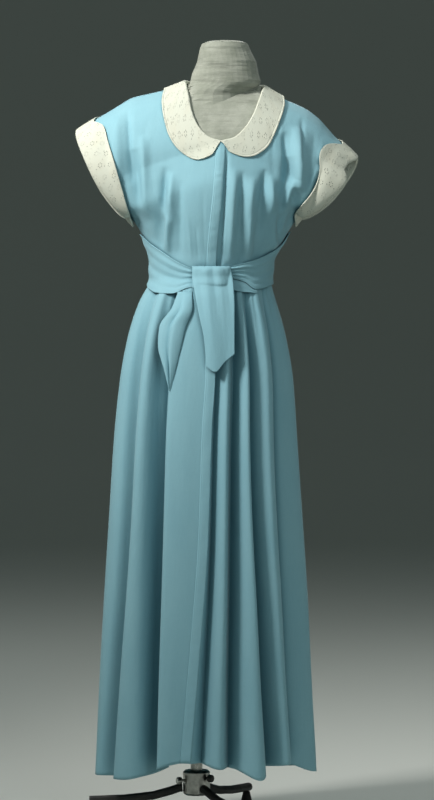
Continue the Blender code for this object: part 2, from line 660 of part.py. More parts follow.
def make_skirt():
    """Two skirt fronts and the back. Returns the grid and its normals."""
    grid = skirt_grid()
    closed = np.concatenate((grid, grid[:, :1]), axis=1)
    normals, = welded_normals([closed])
    seam_left = 0
    strip = len(FOLDS_LEFT) * FOLD_STEPS + STRIP_STEPS
    seam_right = strip + STRIP_STEPS + len(FOLDS_RIGHT) * FOLD_STEPS
    spans = (("skirt_front_left", seam_left, strip), ("skirt_front_right", strip, seam_right),
             ("skirt_back", seam_right, closed.shape[1] - 1))
    for name, start, end in spans:
        wall(name, closed[:, start:end + 1], normals[:, start:end + 1], WALL, "blue_cotton",
             first=True, last=len(SKIRT_ROWS), top=True)
    cut = slice(strip - STRIP_STEPS, strip + STRIP_STEPS + 1)
    inner = closed[1:, cut] + normals[1:, cut] * LAYER_GAP / 2
    outer = inner + normals[1:, cut] * WALL
    shell("placket_skirt", draw_in(outer, top=True), draw_in(inner, top=True), "blue_cotton")


def place_on_front(side, x, height):
    """Rise and across of the front points with these x and heights."""
    x, height = np.broadcast_arrays(np.asarray(x, float), np.asarray(height, float))
    low, high = np.zeros(x.shape), np.ones(x.shape)
    for _ in range(30):
        rise = (low + high) / 2
        in_x, _, _ = inner_edge(side, FRONT, rise)
        out_x, _, _ = outer_edge(side, FRONT, rise)
        across = np.clip((x - in_x) / (out_x - in_x), 0, 1)
        below = bodice_base(side, FRONT, rise, across)[..., 2] < height
        low, high = np.where(below, rise, low), np.where(below, high, rise)
    return rise, across


def make_collar(name, side):
    """Flat collar half laid on the bodice, from the centre front to the centre back."""
    width = np.linspace(0, 1, 5)
    layers = []
    for share in COLLAR_STATIONS:
        rise = NECK_RISE[FRONT] + (1 - NECK_RISE[FRONT]) * share
        in_x, _, in_z = inner_edge(side, FRONT, rise)
        edge_x, edge_z = curve(COLLAR_EDGE[side], share, 1), curve(COLLAR_EDGE[side], share, 2)
        rises, across = place_on_front(side, in_x + (edge_x - in_x) * width,
                                       in_z + (edge_z - in_z) * width)
        if share == 1:
            rises, across = np.ones(5), across[-1] * width
        rises[0], across[0] = rise, 0
        layers.append((FRONT, np.stack((rises, across), axis=-1)))
    back_start = NECK_RISE[BACK]
    for share in np.linspace(0, 1, 7)[1:]:
        inner_rise = 1 - (1 - back_start) * share
        edge_rise, edge_across = curve(COLLAR_BACK, share, 1), curve(COLLAR_BACK, share, 2)
        if share == 1:
            edge_across = 0.0
        rises = inner_rise + (edge_rise - inner_rise) * width
        layers.append((BACK, np.stack((rises, edge_across * width), axis=-1)))
    inner, outer = [], []
    for place, (face, row) in enumerate(layers):
        rise, across = row.T
        points = bodice_cloth(side, face, rise, across)
        normals = bodice_normal(side, face, rise, across)
        lift = LAYER_GAP + COLLAR_BACK_LIFT * min(max((place - 8) / 6, 0), 1)
        lift = (lift + COLLAR_EDGE_LIFT * width)[:, None]
        inner.append(points + normals * lift)
        outer.append(points + normals * (lift + COLLAR_WALL))
    inner, outer = np.array(inner), np.array(outer)
    shell(name, draw_in(outer, top=True, bottom=True), draw_in(inner, top=True, bottom=True),
          "white_eyelet_cotton")


def cuff_place(side, face, rise, share):
    """Rise and across of a cuff point, from the sleeve's hem to the cuff's free edge."""
    turn = 1 - rise
    in_x, _, in_z = inner_edge(side, FRONT, rise)
    out_x, _, out_z = outer_edge(side, FRONT, rise)
    reach = math.hypot(out_x - in_x, out_z - in_z)
    wide = float(curve(CUFF_SHAPE[face], turn)) * CUFF_WIDTH / reach * float(curve(CUFF_INWARD, turn))
    drop = float(curve(CUFF_DROP, turn))
    return rise - drop * share, 1 - wide * share


def make_cuff(name, side):
    """Cuff folded back over the sleeve's hem, a closed loop with a notch on the shoulder."""
    rows = RISES[UNDERARM_ROWS - 1:]
    turns = [(FRONT, 1 - rise) for rise in rows[:0:-1]] + [(BACK, 1 - rise) for rise in rows[:-1]]
    outer, inner = [], []
    for face, turn in turns:
        rise = 1 - turn
        hem = bodice_cloth(side, face, rise, 1.0)
        near_rise, near_across = cuff_place(side, face, rise, 0.06)
        near = bodice_cloth(side, face, near_rise, near_across)
        outward = (hem - near) / np.linalg.norm(hem - near)
        tangent_rise = np.clip(rise + 0.01, 0, 1), np.clip(rise - 0.01, 0, 1)
        along = bodice_cloth(side, face, tangent_rise[0], 1.0)
        along = along - bodice_cloth(side, face, tangent_rise[1], 1.0)
        if turn in (0, 1):
            along = np.array((0.0, 1.0, 0.0))
        hem_normal = np.cross(outward, along)
        hem_normal /= np.linalg.norm(hem_normal)
        if np.dot(hem_normal, bodice_normal(side, face, near_rise, near_across)) < 0:
            hem_normal = -hem_normal
        loose = 1 + CUFF_LOOSE * min(max((turn - 0.36) / 0.22, 0), 1)

        def point(distance, lift):
            lift = lift * loose
            if distance <= 0:
                return hem - outward * distance * loose + hem_normal * lift
            share = distance / CUFF_WIDTH
            place = cuff_place(side, face, rise, share)
            spot = bodice_cloth(side, face, *place)
            normal = bodice_normal(side, face, *place)
            mix = min(distance / 0.02, 1)
            normal = hem_normal * (1 - mix) + normal * mix
            if turn in (0, 1):
                normal[1] = 0
            return spot + normal / np.linalg.norm(normal) * lift

        outer.append([point(row[0], row[1]) for row in CUFF_SECTION])
        inner.append([point(row[2], row[3]) for row in CUFF_SECTION])
    outer, inner = np.array(outer), np.array(inner)
    shell(name, outer.transpose(1, 0, 2), inner.transpose(1, 0, 2), "white_eyelet_cotton", wrap=True)


def sash_edges(angle):
    """Lower and upper edge of the sash at an angle in degrees, from -9 round the back to -353."""
    return curve(SASH, angle, 1), curve(SASH, angle, 2)


def make_sash_band():
    """Sash round the waist, with soft lengthwise creases drawn in to the knot."""
    angles = np.linspace(SASH[0][0], SASH[-1][0], SASH_STEPS + 1)
    low, high = sash_edges(angles)
    outer, inner = [], []
    for share in np.linspace(0, 1, 6):
        height = low + (high - low) * share
        crease = 0.0012 * (1 - math.cos(4 * math.pi * share)) / 2
        inner.append(ring(np.radians(angles), height, SASH_LIFT + crease))
        outer.append(ring(np.radians(angles), height, SASH_LIFT + crease + SASH_WALL))
    shell("sash_band", np.array(outer), np.array(inner), "blue_cotton")


def make_under_layer():
    """Second turn of the sash that shows below the band, right of the knot."""
    angles = np.linspace(UNDER_LAYER[0][0], UNDER_LAYER[-1][0], 9)
    top = sash_edges(angles - 360)[0] - 5 * SEAM_GAP
    low = np.minimum(curve(UNDER_LAYER, angles), top - UNDER_LAYER_LEAST)
    outer, inner = [], []
    for share in (0, 0.5, 1):
        height = low + (top - low) * share
        inner.append(ring(np.radians(angles), height, SASH_LIFT - 0.0002))
        outer.append(ring(np.radians(angles), height, SASH_LIFT + SASH_WALL - 0.0002))
    shell("sash_under", np.array(outer), np.array(inner), "blue_cotton")


def front_grid(x, height, lift):
    """Points in front of the dress with this x and height, lifted off its base surface."""
    angle = angle_at(x, height)
    points = ring(angle, height, lift)
    return points


def knot_lift(x, height):
    """Lift of the knot's outer face, rounded towards its edges."""
    u = (x - KNOT_X[0]) / (KNOT_X[1] - KNOT_X[0]) * 2 - 1
    v = (height - KNOT_Z[0]) / (KNOT_Z[1] - KNOT_Z[0]) * 2 - 1
    crown = np.clip(1 - u ** 4, 0, 1) * np.clip(1 - v ** 4, 0, 1)
    return SASH_LIFT + 2 * SASH_WALL + SEAM_GAP + 0.0024 + KNOT_BULGE * crown


def make_knot():
    """Knot of the sash, a rounded pad on the band."""
    x, height = np.meshgrid(np.linspace(*KNOT_X, 9), np.linspace(*KNOT_Z, 8))
    back = front_grid(x, height, np.full_like(x, SASH_LIFT + SASH_WALL + 0.0012 + 2 * SEAM_GAP))
    shell("sash_knot", front_grid(x, height, knot_lift(x, height)), back, "blue_cotton")


def make_front_tail():
    """Wide end of the sash over the knot, with its slanted end."""
    rows = []
    for share in (0, 0.04, 0.08, 0.12, 0.16, 0.2, 0.26, 0.36, 0.5, 0.66, 0.83, 1.0):
        across = np.linspace(0, 1, 7)
        low = curve(TAIL_FRONT_END, across)
        height = KNOT_Z[1] + (low - KNOT_Z[1]) * share
        x = curve(TAIL_FRONT, height, 1) * (1 - across) + curve(TAIL_FRONT, height, 2) * across
        hang = curve(TAIL_FRONT, height, 3) + 0.0015 * np.sin(across * math.pi * 2)
        over = knot_lift(np.mean(KNOT_X) + (x - np.mean(KNOT_X)) * KNOT_WIDER,
                         np.mean(KNOT_Z) + (height - np.mean(KNOT_Z)) * KNOT_WIDER)
        lift = np.maximum(hang, over + 1.5 * LAYER_GAP)
        rows.append((x, height, lift))
    inner = np.array([front_grid(*row) for row in rows])
    outer = np.array([front_grid(x, height, lift + SASH_WALL) for x, height, lift in rows])
    shell("sash_tail_front", outer, inner, "blue_cotton")


def make_side_tail():
    """Narrow end of the sash, folded lengthwise, below the band left of the knot."""
    top, low = TAIL_SIDE[-1][0], TAIL_SIDE[0][0]
    outer, inner = [], []
    for share in np.linspace(0, 1, 10):
        across = np.linspace(0, 1, 7)
        height = np.full_like(across, top + (low - top) * share)
        x = curve(TAIL_SIDE, height, 1) * (1 - across) + curve(TAIL_SIDE, height, 2) * across
        if share == 0:
            edge = sash_edges(np.degrees(angle_at(x, height)))[0] - 2 * SEAM_GAP
            height = np.minimum(edge, top + 0.004)
        crown = curve(TAIL_SIDE, height, 3) * np.sin(math.pi * across) ** 0.8
        base = 0.0105 - 0.0068 * np.exp(-share * 5)
        inner.append(front_grid(x, height, base + crown))
        outer.append(front_grid(x, height, base + crown + SASH_WALL))
    shell("sash_tail_side", np.array(outer), np.array(inner), "blue_cotton")


def tree_of(grids):
    """Tree of the faces of some grids."""
    points, faces = [], []
    for grid in grids:
        rows, cols = grid.shape[:2]
        start = len(points)
        points += [Vector(point) for point in grid.reshape(-1, 3)]
        for i in range(rows - 1):
            for j in range(cols - 1):
                a = start + i * cols + j
                faces += [(a, a + 1, a + cols + 1), (a, a + cols + 1, a + cols)]
    return BVHTree.FromPolygons(points, faces)


def bib_grid():
    """Flat chest between the two sides of the front neckline, set in a little."""
    share = np.linspace(0, 1, 14)
    rise = NECK_RISE[FRONT] + (1 - NECK_RISE[FRONT]) * share
    left = np.stack(inner_edge(LEFT, FRONT, rise), axis=-1)
    right = np.stack(inner_edge(RIGHT, FRONT, rise), axis=-1)
    set_in = np.array((BIB_CLEARANCE, BIB_CLEARANCE, -BIB_CLEARANCE / 2))
    return np.stack((left + set_in, right + set_in * (-1, 1, 1)), axis=1)


def spoke_to(row, angle):
    """Vector from the middle of a form ring to its rim at an angle."""
    _, left, right, front, back = row
    depth = front if math.cos(angle) > 0 else back
    return Vector(((right - left) / 2 * math.sin(angle), -depth * math.cos(angle), 0))


def make_form(quarters):
    """Limbless form as one closed loft, drawn in where the bodice's inside is nearer."""
    cloth = tree_of([grid for _, _, grid in quarters.values()])
    bib = tree_of([bib_grid()])
    rows = []
    for ring_row in FORM:
        height, left, right = ring_row[:3]
        centre = Vector(((left + right) / 2, 0, height))
        neck = [height] + [float(curve(NECK_ROOT, height, column)) for column in (1, 2, 3, 4)]
        row = []
        for angle in np.linspace(0, 2 * math.pi, FORM_COLUMNS, endpoint=False):
            spoke = spoke_to(ring_row, angle)
            along = spoke.normalized()
            reach = spoke.length
            _, _, _, cloth_at = cloth.ray_cast(centre, along, reach + 0.01)
            if cloth_at is not None:
                reach = min(reach, cloth_at)
            elif NECK_ROOT[0][0] < height < NECK_ROOT[-1][0]:
                _, _, _, bib_at = bib.ray_cast(centre, along, reach + 0.01)
                reach = min(reach, max(bib_at or 0, spoke_to(neck, angle).length))
            if cloth_at is not None:
                reach -= float(curve(FORM_EASE, height, 1 if along.x < 0 else 2))
            row.append(centre + along * reach)
        rows.append(row)
    points = [point for row in rows for point in row]
    faces = []
    for i in range(len(rows) - 1):
        for j in range(FORM_COLUMNS):
            a, b = i * FORM_COLUMNS + j, i * FORM_COLUMNS + (j + 1) % FORM_COLUMNS
            faces += [(a, b, b + FORM_COLUMNS), (a, b + FORM_COLUMNS, a + FORM_COLUMNS)]
    for level, flip in ((0, True), (len(rows) - 1, False)):
        middle = len(points)
        height, left, right = FORM[level][:3]
        points.append(Vector(((left + right) / 2, 0, height)))
        for j in range(FORM_COLUMNS):
            a = level * FORM_COLUMNS + j
            b = level * FORM_COLUMNS + (j + 1) % FORM_COLUMNS
            faces.append((b, a, middle) if flip else (a, b, middle))
    add_object("dress_form", points, faces, "grey_jersey")


def lathe(name, profile, at, material, sides=24, axis=(0, 0, 1)):
    """Round solid from (distance along the axis, radius) pairs."""
    axis = Vector(axis).normalized()
    first = axis.orthogonal().normalized()
    second = axis.cross(first)
    points = [Vector(at) + axis * profile[0][0]]
    for along, radius in profile:
        for step in range(sides):
            turn = 2 * math.pi * step / sides
            points.append(Vector(at) + axis * along
                          + (first * math.cos(turn) + second * math.sin(turn)) * radius)
    points.append(Vector(at) + axis * profile[-1][0])
    faces = []
    for step in range(sides):
        after = (step + 1) % sides
        faces.append((0, 1 + after, 1 + step))
        for level in range(len(profile) - 1):
            a, b = 1 + level * sides + step, 1 + level * sides + after
            faces += [(a, b, b + sides), (a, b + sides, a + sides)]
        last = 1 + (len(profile) - 1) * sides
        faces.append((last + step, last + after, len(points) - 1))
    add_object(name, points, faces, material)


def tube(name, path, radius, material, sides=10):
    """Round bar along a path that lies in one upright plane."""
    path = [Vector(point) for point in path]
    across = (path[-1] - path[0]).cross(Vector((0, 0, 1))).normalized()
    points = [path[0]]
    for place, centre in enumerate(path):
        before, after = path[max(place - 1, 0)], path[min(place + 1, len(path) - 1)]
        up = across.cross(after - before).normalized()
        for step in range(sides):
            turn = 2 * math.pi * step / sides
            points.append(centre + (across * math.cos(turn) + up * math.sin(turn)) * radius)
    points.append(path[-1])
    faces = []
    for step in range(sides):
        after = (step + 1) % sides
        faces.append((0, 1 + after, 1 + step))
        for level in range(len(path) - 1):
            a, b = 1 + level * sides + step, 1 + level * sides + after
            faces += [(a, b, b + sides), (a, b + sides, a + sides)]
        last = 1 + (len(path) - 1) * sides
        faces.append((last + step, last + after, len(points) - 1))
    add_object(name, points, faces, material)


def make_stand():
    """Post, hub with two clamp screws, and curved legs on plain feet."""
    gap = SEAM_GAP
    form_bottom = FORM[0][0]
    flange = 0.036
    lathe("stand_post", ((HUB_TOP + gap, POST_RADIUS), (form_bottom - 0.012, POST_RADIUS),
                         (form_bottom - 0.008, flange), (form_bottom - gap, flange)),
          (POST_X, 0, 0), "bright_steel")
    lathe("stand_hub", ((HUB_BOTTOM, HUB_RADIUS - 0.004), (HUB_BOTTOM + 0.004, HUB_RADIUS),
                        (HUB_TOP - 0.004, HUB_RADIUS), (HUB_TOP, HUB_RADIUS - 0.004)),
          (POST_X, 0, 0), "bright_steel", sides=32)
    knob = ((0.0, 0.003), (0.006, 0.003), (0.007, 0.008), (0.014, 0.008), (0.016, 0.006))
    for name, turn, height, material in (("clamp_screw_left", 205, 0.093, "bright_steel"),
                                         ("clamp_screw_right", 318, 0.099, "dark_paint")):
        out = Vector((math.cos(math.radians(turn)), math.sin(math.radians(turn)), 0))
        start = Vector((POST_X, 0, height)) + out * (HUB_RADIUS + 2 * gap)
        lathe(name, knob, start, material, sides=14, axis=out)
    for number in range(LEG_COUNT):
        turn = math.pi + 2 * math.pi * number / LEG_COUNT
        out = Vector((math.cos(turn), math.sin(turn), 0))
        path = [Vector((POST_X, 0, height)) + out * reach for reach, height in LEG_PATH]
        tube(f"stand_leg_{number + 1}", path, LEG_RADIUS, "dark_paint")
        foot = Vector((POST_X, 0, 0)) + out * FOOT_AT
        top = LEG_PATH[-1][1] - LEG_RADIUS
        lathe(f"stand_foot_{number + 1}", ((0, FOOT_RADIUS), (top * 0.5, FOOT_RADIUS),
                                           (top, FOOT_RADIUS * 0.6)), foot, "black_rubber", sides=16)


for old in list(bpy.data.objects):
    bpy.data.objects.remove(old, do_unlink=True)
materials = {name: make_material(name) for name in MATERIALS}
bodice_quarters = make_bodice()
make_bodice_strip(bodice_quarters)
make_skirt()
make_collar("collar_left", LEFT)
make_collar("collar_right", RIGHT)
make_cuff("cuff_left", LEFT)
make_cuff("cuff_right", RIGHT)
make_sash_band()
make_under_layer()
make_knot()
make_front_tail()
make_side_tail()
make_form(bodice_quarters)
make_stand()
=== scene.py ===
"""Looks of the nurse uniform dress with a tied sash, worn on a limbless dress form.

Metres, +Z up, the front faces -Y, in the frame of the solids. The cloth is made again as
thin, finely stepped shells from the same tables as the solids, with the smaller creases,
gathers, puckers and stitched edges added. Left and right are those of someone who looks
at the front.
"""

import math

import bpy
import numpy as np
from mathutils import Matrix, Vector


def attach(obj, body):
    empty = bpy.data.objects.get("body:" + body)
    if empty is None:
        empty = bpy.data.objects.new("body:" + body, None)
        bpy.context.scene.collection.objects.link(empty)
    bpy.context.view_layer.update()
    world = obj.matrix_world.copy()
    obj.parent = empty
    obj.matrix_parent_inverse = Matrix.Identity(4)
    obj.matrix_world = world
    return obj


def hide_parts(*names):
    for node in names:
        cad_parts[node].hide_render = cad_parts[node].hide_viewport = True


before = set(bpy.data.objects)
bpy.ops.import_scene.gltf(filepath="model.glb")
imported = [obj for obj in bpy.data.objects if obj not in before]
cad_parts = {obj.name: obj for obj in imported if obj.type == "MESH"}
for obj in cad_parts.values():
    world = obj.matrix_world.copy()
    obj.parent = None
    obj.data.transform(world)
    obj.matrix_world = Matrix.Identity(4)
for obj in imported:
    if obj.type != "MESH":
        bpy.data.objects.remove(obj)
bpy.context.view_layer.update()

# Main sizes
WALL = 0.0014
SEAM_GAP = 0.0003
LAYER_GAP = 0.0009
WAIST = 1.147
ARM_LEVEL = 1.280
LEFT, RIGHT = -1, 1
FRONT, BACK = -1, 1

# Rings of the dress over the body: height, left, right, front and back reach
BODY = (
    (0.050, -0.247, 0.201, 0.208, 0.208),
    (0.134, -0.243, 0.198, 0.204, 0.204),
    (0.302, -0.237, 0.190, 0.196, 0.196),
    (0.470, -0.230, 0.184, 0.188, 0.188),
    (0.638, -0.222, 0.175, 0.180, 0.180),
    (0.806, -0.213, 0.165, 0.168, 0.168),
    (0.932, -0.201, 0.157, 0.155, 0.155),
    (1.016, -0.186, 0.143, 0.142, 0.142),
    (1.058, -0.175, 0.133, 0.132, 0.130),
    (1.100, -0.160, 0.121, 0.118, 0.112),
    (1.125, -0.147, 0.115, 0.106, 0.099),
    (1.147, -0.138, 0.113, 0.098, 0.092),
    (1.184, -0.139, 0.117, 0.104, 0.094),
    (1.222, -0.150, 0.138, 0.116, 0.098),
    (1.260, -0.171, 0.160, 0.125, 0.102),
    (1.280, -0.190, 0.177, 0.129, 0.105),
)

# Closing line of the fly down the front: height, x
CLOSING = (
    (0.050, -0.070), (0.115, -0.066), (0.353, -0.047), (0.600, -0.029), (0.834, -0.021),
    (0.947, -0.014), (1.169, -0.012), (1.321, 0.001), (1.423, 0.008),
)
STRIP_HALF = 0.010

# Centre front and centre back above the underarm: height, reach
CHEST = ((1.280, 0.129), (1.330, 0.131), (1.380, 0.122), (1.423, 0.109))
SPINE = ((1.280, 0.105), (1.360, 0.108), (1.440, 0.103), (1.500, 0.088), (1.553, 0.066))
NECK_RISE = {FRONT: 0.42, BACK: 0.80}

# Necklines from the centre to the shoulder: share of the way, x, y, height
NECKLINE = {
    (LEFT, FRONT): (
        (0.00, 0.008, -0.109, 1.423), (0.20, -0.014, -0.105, 1.430), (0.42, -0.035, -0.096, 1.449),
        (0.62, -0.052, -0.078, 1.483), (0.82, -0.061, -0.045, 1.527), (1.00, -0.067, 0.004, 1.560),
    ),
    (RIGHT, FRONT): (
        (0.00, 0.008, -0.109, 1.423), (0.20, 0.034, -0.105, 1.430), (0.42, 0.056, -0.096, 1.449),
        (0.62, 0.077, -0.078, 1.483), (0.82, 0.091, -0.045, 1.522), (1.00, 0.100, 0.004, 1.550),
    ),
    (LEFT, BACK): (
        (0.00, 0.016, 0.066, 1.553), (0.35, -0.022, 0.062, 1.557), (0.70, -0.052, 0.042, 1.561),
        (1.00, -0.067, 0.004, 1.560),
    ),
    (RIGHT, BACK): (
        (0.00, 0.016, 0.066, 1.553), (0.35, 0.055, 0.062, 1.554), (0.70, 0.085, 0.042, 1.554),
        (1.00, 0.100, 0.004, 1.550),
    ),
}
BACK_CENTRE = (-0.006, 0.016)

# Sleeve hems: x and height of the shoulder end, bow of the loop
SLEEVE = {LEFT: (-0.290, 1.458, 0.018), RIGHT: (0.292, 1.404, 0.022)}
SLEEVE_DEPTH = 0.075
# How far the front of the right sleeve's hem gapes inwards below the shoulder:
# turn from the shoulder, distance
MOUTH = ((0.00, 0.000), (0.10, 0.003), (0.19, 0.020), (0.27, 0.022), (0.36, 0.008), (0.44, 0.000),
         (1.00, 0.000))
# Rise of the shoulder line over a straight one, from the neck to the sleeve's hem
SHOULDER_BOW = {
    LEFT: ((0.0, 0.0), (0.19, 0.002), (0.34, 0.009), (0.52, 0.0165), (0.62, 0.013), (0.80, 0.007),
           (1.0, 0.0)),
    RIGHT: ((0.0, 0.0), (0.20, 0.004), (0.35, 0.013), (0.50, 0.0195), (0.58, 0.0190), (0.69, 0.012),
            (0.78, 0.006), (1.0, 0.0)),
}

# Soft folds of the bodice: start x, start height, end x, end height, width, reach
BODICE_FOLDS = {
    FRONT: (
        (-0.240, 1.490, -0.228, 1.355, 0.011, -0.0035),
        (-0.212, 1.495, -0.206, 1.340, 0.012, 0.0040),
        (-0.187, 1.500, -0.175, 1.335, 0.006, -0.0038),
        (-0.174, 1.410, -0.160, 1.285, 0.013, -0.0055),
        (-0.153, 1.440, -0.147, 1.270, 0.010, 0.0045),
        (-0.106, 1.372, -0.124, 1.175, 0.0075, -0.0080),
        (-0.093, 1.360, -0.104, 1.185, 0.008, 0.0042),
        (-0.075, 1.345, -0.080, 1.180, 0.009, -0.0028),
        (0.0215, 1.410, 0.0055, 1.140, 0.0040, -0.0042),
        (0.037, 1.370, 0.027, 1.170, 0.009, 0.0035),
        (0.054, 1.362, 0.043, 1.150, 0.0065, -0.0055),
        (0.074, 1.350, 0.063, 1.170, 0.009, 0.0038),
        (0.099, 1.368, 0.079, 1.145, 0.007, -0.0085),
        (0.113, 1.355, 0.121, 1.180, 0.008, 0.0045),
        (0.138, 1.445, 0.152, 1.340, 0.010, -0.0060),
        (0.150, 1.395, 0.126, 1.215, 0.011, -0.0075),
        (0.157, 1.345, 0.130, 1.225, 0.006, 0.0048),
        (0.167, 1.460, 0.173, 1.310, 0.014, 0.0060),
        (0.167, 1.330, 0.160, 1.250, 0.012, -0.0080),
        (0.177, 1.480, 0.177, 1.375, 0.004, -0.0030),
        (0.184, 1.305, 0.216, 1.380, 0.007, 0.0040),
        (0.218, 1.395, 0.190, 1.270, 0.010, -0.0060),
    ),
    BACK: (
        (-0.205, 1.440, -0.186, 1.320, 0.014, 0.005),
        (-0.170, 1.430, -0.148, 1.230, 0.014, -0.005),
        (-0.095, 1.360, -0.080, 1.180, 0.014, -0.004),
        (-0.055, 1.330, -0.045, 1.180, 0.014, 0.004),
        (0.060, 1.340, 0.045, 1.180, 0.014, 0.004),
        (0.095, 1.360, 0.080, 1.180, 0.014, -0.004),
        (0.160, 1.420, 0.140, 1.230, 0.014, -0.005),
        (0.200, 1.420, 0.183, 1.310, 0.014, 0.005),
    ),
}

# Folds of the skirt round the body, 0 in front and 90 at the right side:
# angle at the waist, the middle and the hem in degrees, reach there in millimetres
FOLD_HEIGHTS = (0.115, 0.680, WAIST)
FOLDS_LEFT = (
    (-90, -90, -90, 0.0, -4.0, -10.0),
    (-71, -69, -69, 1.0, 6.0, 12.0),
    (-55, -52, -59, -1.0, -4.0, -8.0),
    (-42, -44, -51, 1.0, 6.0, 10.0),
    (-29, -28.5, -29, -1.5, -13.0, -24.0),
    (-21, -22, -23.5, 1.0, 8.0, 14.0),
)
STRIP_REACH = (1.0, 4.0, 6.0)
FOLDS_RIGHT = (
    (8, 4, -3.5, -1.0, -12.0, -22.0),
    (15, 11.5, 6, 1.0, 6.0, 12.0),
    (23, 18, 14, -1.5, -12.0, -20.0),
    (29, 27.5, 28, 1.0, 5.0, 10.0),
    (36, 33, 39.5, -1.5, -10.0, -16.0),
    (46, 42, 46, 1.0, 5.0, 10.0),
    (60, 53, 56, -1.0, -6.0, -12.0),
    (74, 72, 71, 1.0, 6.0, 12.0),
    (90, 90, 90, 0.0, -4.0, -8.0),
)
FOLDS_BACK = (
    (105, 105, 105, 1.0, 6.0, 13.0),
    (122, 121, 120, -1.5, -9.0, -18.0),
    (139, 138, 136, 1.0, 5.0, 11.0),
    (156, 155, 154, -1.5, -10.0, -20.0),
    (172, 171, 172, 1.0, 6.0, 12.0),
    (189, 190, 191, -1.5, -11.0, -21.0),
    (206, 207, 208, 1.0, 6.0, 12.0),
    (222, 222, 224, -1.5, -9.0, -17.0),
    (238, 239, 239, 1.0, 5.0, 11.0),
    (255, 256, 256, -1.0, -6.0, -13.0),
    (270, 270, 270, 0.0, -4.0, -10.0),
)

# Height of the hem round the body: angle, height
HEM = (
    (-90, 0.120), (-62, 0.114), (-46, 0.114), (-28, 0.138), (-12, 0.155), (-3, 0.152), (6, 0.143),
    (16, 0.140), (28, 0.118), (40, 0.140), (52, 0.147), (68, 0.122), (90, 0.115), (130, 0.110),
    (180, 0.106), (230, 0.110), (270, 0.120),
)

# Outer edge of the collar from the front to the shoulder: share, x, height
COLLAR_EDGE = {
    LEFT: (
        (0.00, 0.004, 1.4175), (0.08, -0.0116, 1.393), (0.20, -0.039, 1.384),
        (0.42, -0.079, 1.406), (0.60, -0.104, 1.449), (0.82, -0.1145, 1.509), (1.00, -0.110, 1.543),
    ),
    RIGHT: (
        (0.00, 0.0126, 1.4175), (0.08, 0.0284, 1.399), (0.20, 0.060, 1.390),
        (0.42, 0.098, 1.406), (0.60, 0.123, 1.449), (0.82, 0.1407, 1.509), (1.00, 0.1386, 1.529),
    ),
}
# The same edge at the back, from the shoulder to the centre: share, rise, across
COLLAR_BACK = ((0.00, 1.00, 0.190), (0.30, 0.93, 0.185), (0.60, 0.84, 0.155), (1.00, 0.68, 0.000))
COLLAR_WALL = 0.0015
COLLAR_BACK_LIFT = 0.0014
COLLAR_EDGE_LIFT = 0.0016
# Row of the collar where the back's lift starts, and the rows it grows over
BACK_LIFT_ROW, BACK_LIFT_ROWS = 55, 40
# Slow waves of the collar's edge: reach and step in radians a row
COLLAR_WAVE, COLLAR_WAVE_STEP = 0.0006, 0.21

# Section of a cuff from the inside of the sleeve over its fold to its free edge:
# distance in from the hem and lift, for the outer and the inner face
CUFF_SECTION = (
    (0.012, -0.0038, 0.012, -0.0023),
    (-0.001, -0.0038, 0.000, -0.0023),
    (-0.004, -0.0005, -0.0022, -0.0005),
    (-0.001, 0.0030, 0.000, 0.0010),
    (0.014, 0.0040, 0.014, 0.0022),
    (0.034, 0.0046, 0.034, 0.0030),
    (0.060, 0.0044, 0.060, 0.0028),
)
CUFF_WIDTH = 0.060
CUFF_LOOSE = 1.0
# Share of the cuff's width from the shoulder line to the underarm, with the notch in front
CUFF_SHAPE = {
    FRONT: (
        (0.00, 0.68), (0.085, 0.63), (0.105, 0.66), (0.125, 0.93), (0.15, 1.00), (0.38, 0.98),
        (0.50, 0.86), (0.61, 0.70), (0.75, 0.58), (0.90, 0.55), (1.00, 0.55),
    ),
    BACK: ((0.00, 0.68), (0.05, 0.85), (0.12, 1.00), (0.60, 0.95), (0.80, 0.70), (1.00, 0.55)),
}
CUFF_DROP = ((0.00, 0.00), (0.55, 0.00), (0.80, 0.08), (1.00, 0.16))
CUFF_INWARD = ((0.00, 1.00), (0.60, 0.95), (0.85, 0.45), (1.00, 0.00))

# Sash round the waist: angle, lower and upper edge
SASH = (
    (-9, 1.124, 1.160), (-18, 1.122, 1.163), (-32, 1.110, 1.176), (-51, 1.113, 1.199),
    (-64, 1.120, 1.214), (-90, 1.134, 1.240), (-130, 1.130, 1.222), (-180, 1.126, 1.214),
    (-230, 1.130, 1.226), (-270, 1.134, 1.244), (-282, 1.132, 1.214), (-315, 1.120, 1.182),
    (-328, 1.135, 1.174), (-344, 1.142, 1.166), (-353, 1.142, 1.164),
)
SASH_LIFT = 0.0030
SASH_WALL = 0.0016
UNDER_LAYER = ((14, 1.121), (32, 1.113), (47, 1.112))
UNDER_LAYER_LEAST = 0.004
KNOT_X = (-0.049, 0.024)
KNOT_Z = (1.121, 1.166)
KNOT_BULGE = 0.012
KNOT_WIDER = 0.94
# Folds of the knot: how many, their slant, their reach
KNOT_FOLDS, KNOT_SLANT, KNOT_FOLD_REACH = 3.2, 0.5, 0.0012

# Front end of the sash: height, left, right edge, lift over the body
TAIL_FRONT = (
    (0.940, -0.020, 0.0315, 0.0150), (1.014, -0.026, 0.0305, 0.0155), (1.075, -0.037, 0.0300, 0.0165),
    (1.134, -0.045, 0.0270, 0.0180), (1.166, -0.0475, 0.0235, 0.0120),
)
TAIL_FRONT_END = ((0.00, 0.958), (0.29, 0.947), (0.65, 0.967), (1.00, 0.984))
# Side end of the sash: height, left, right edge, depth of its fold
TAIL_SIDE = (
    (0.909, -0.0925, -0.0905, 0.001), (0.950, -0.0998, -0.0810, 0.004), (1.004, -0.1115, -0.0690, 0.008),
    (1.040, -0.1090, -0.0610, 0.009), (1.080, -0.0870, -0.0480, 0.007), (1.110, -0.0790, -0.0500, 0.001),
)

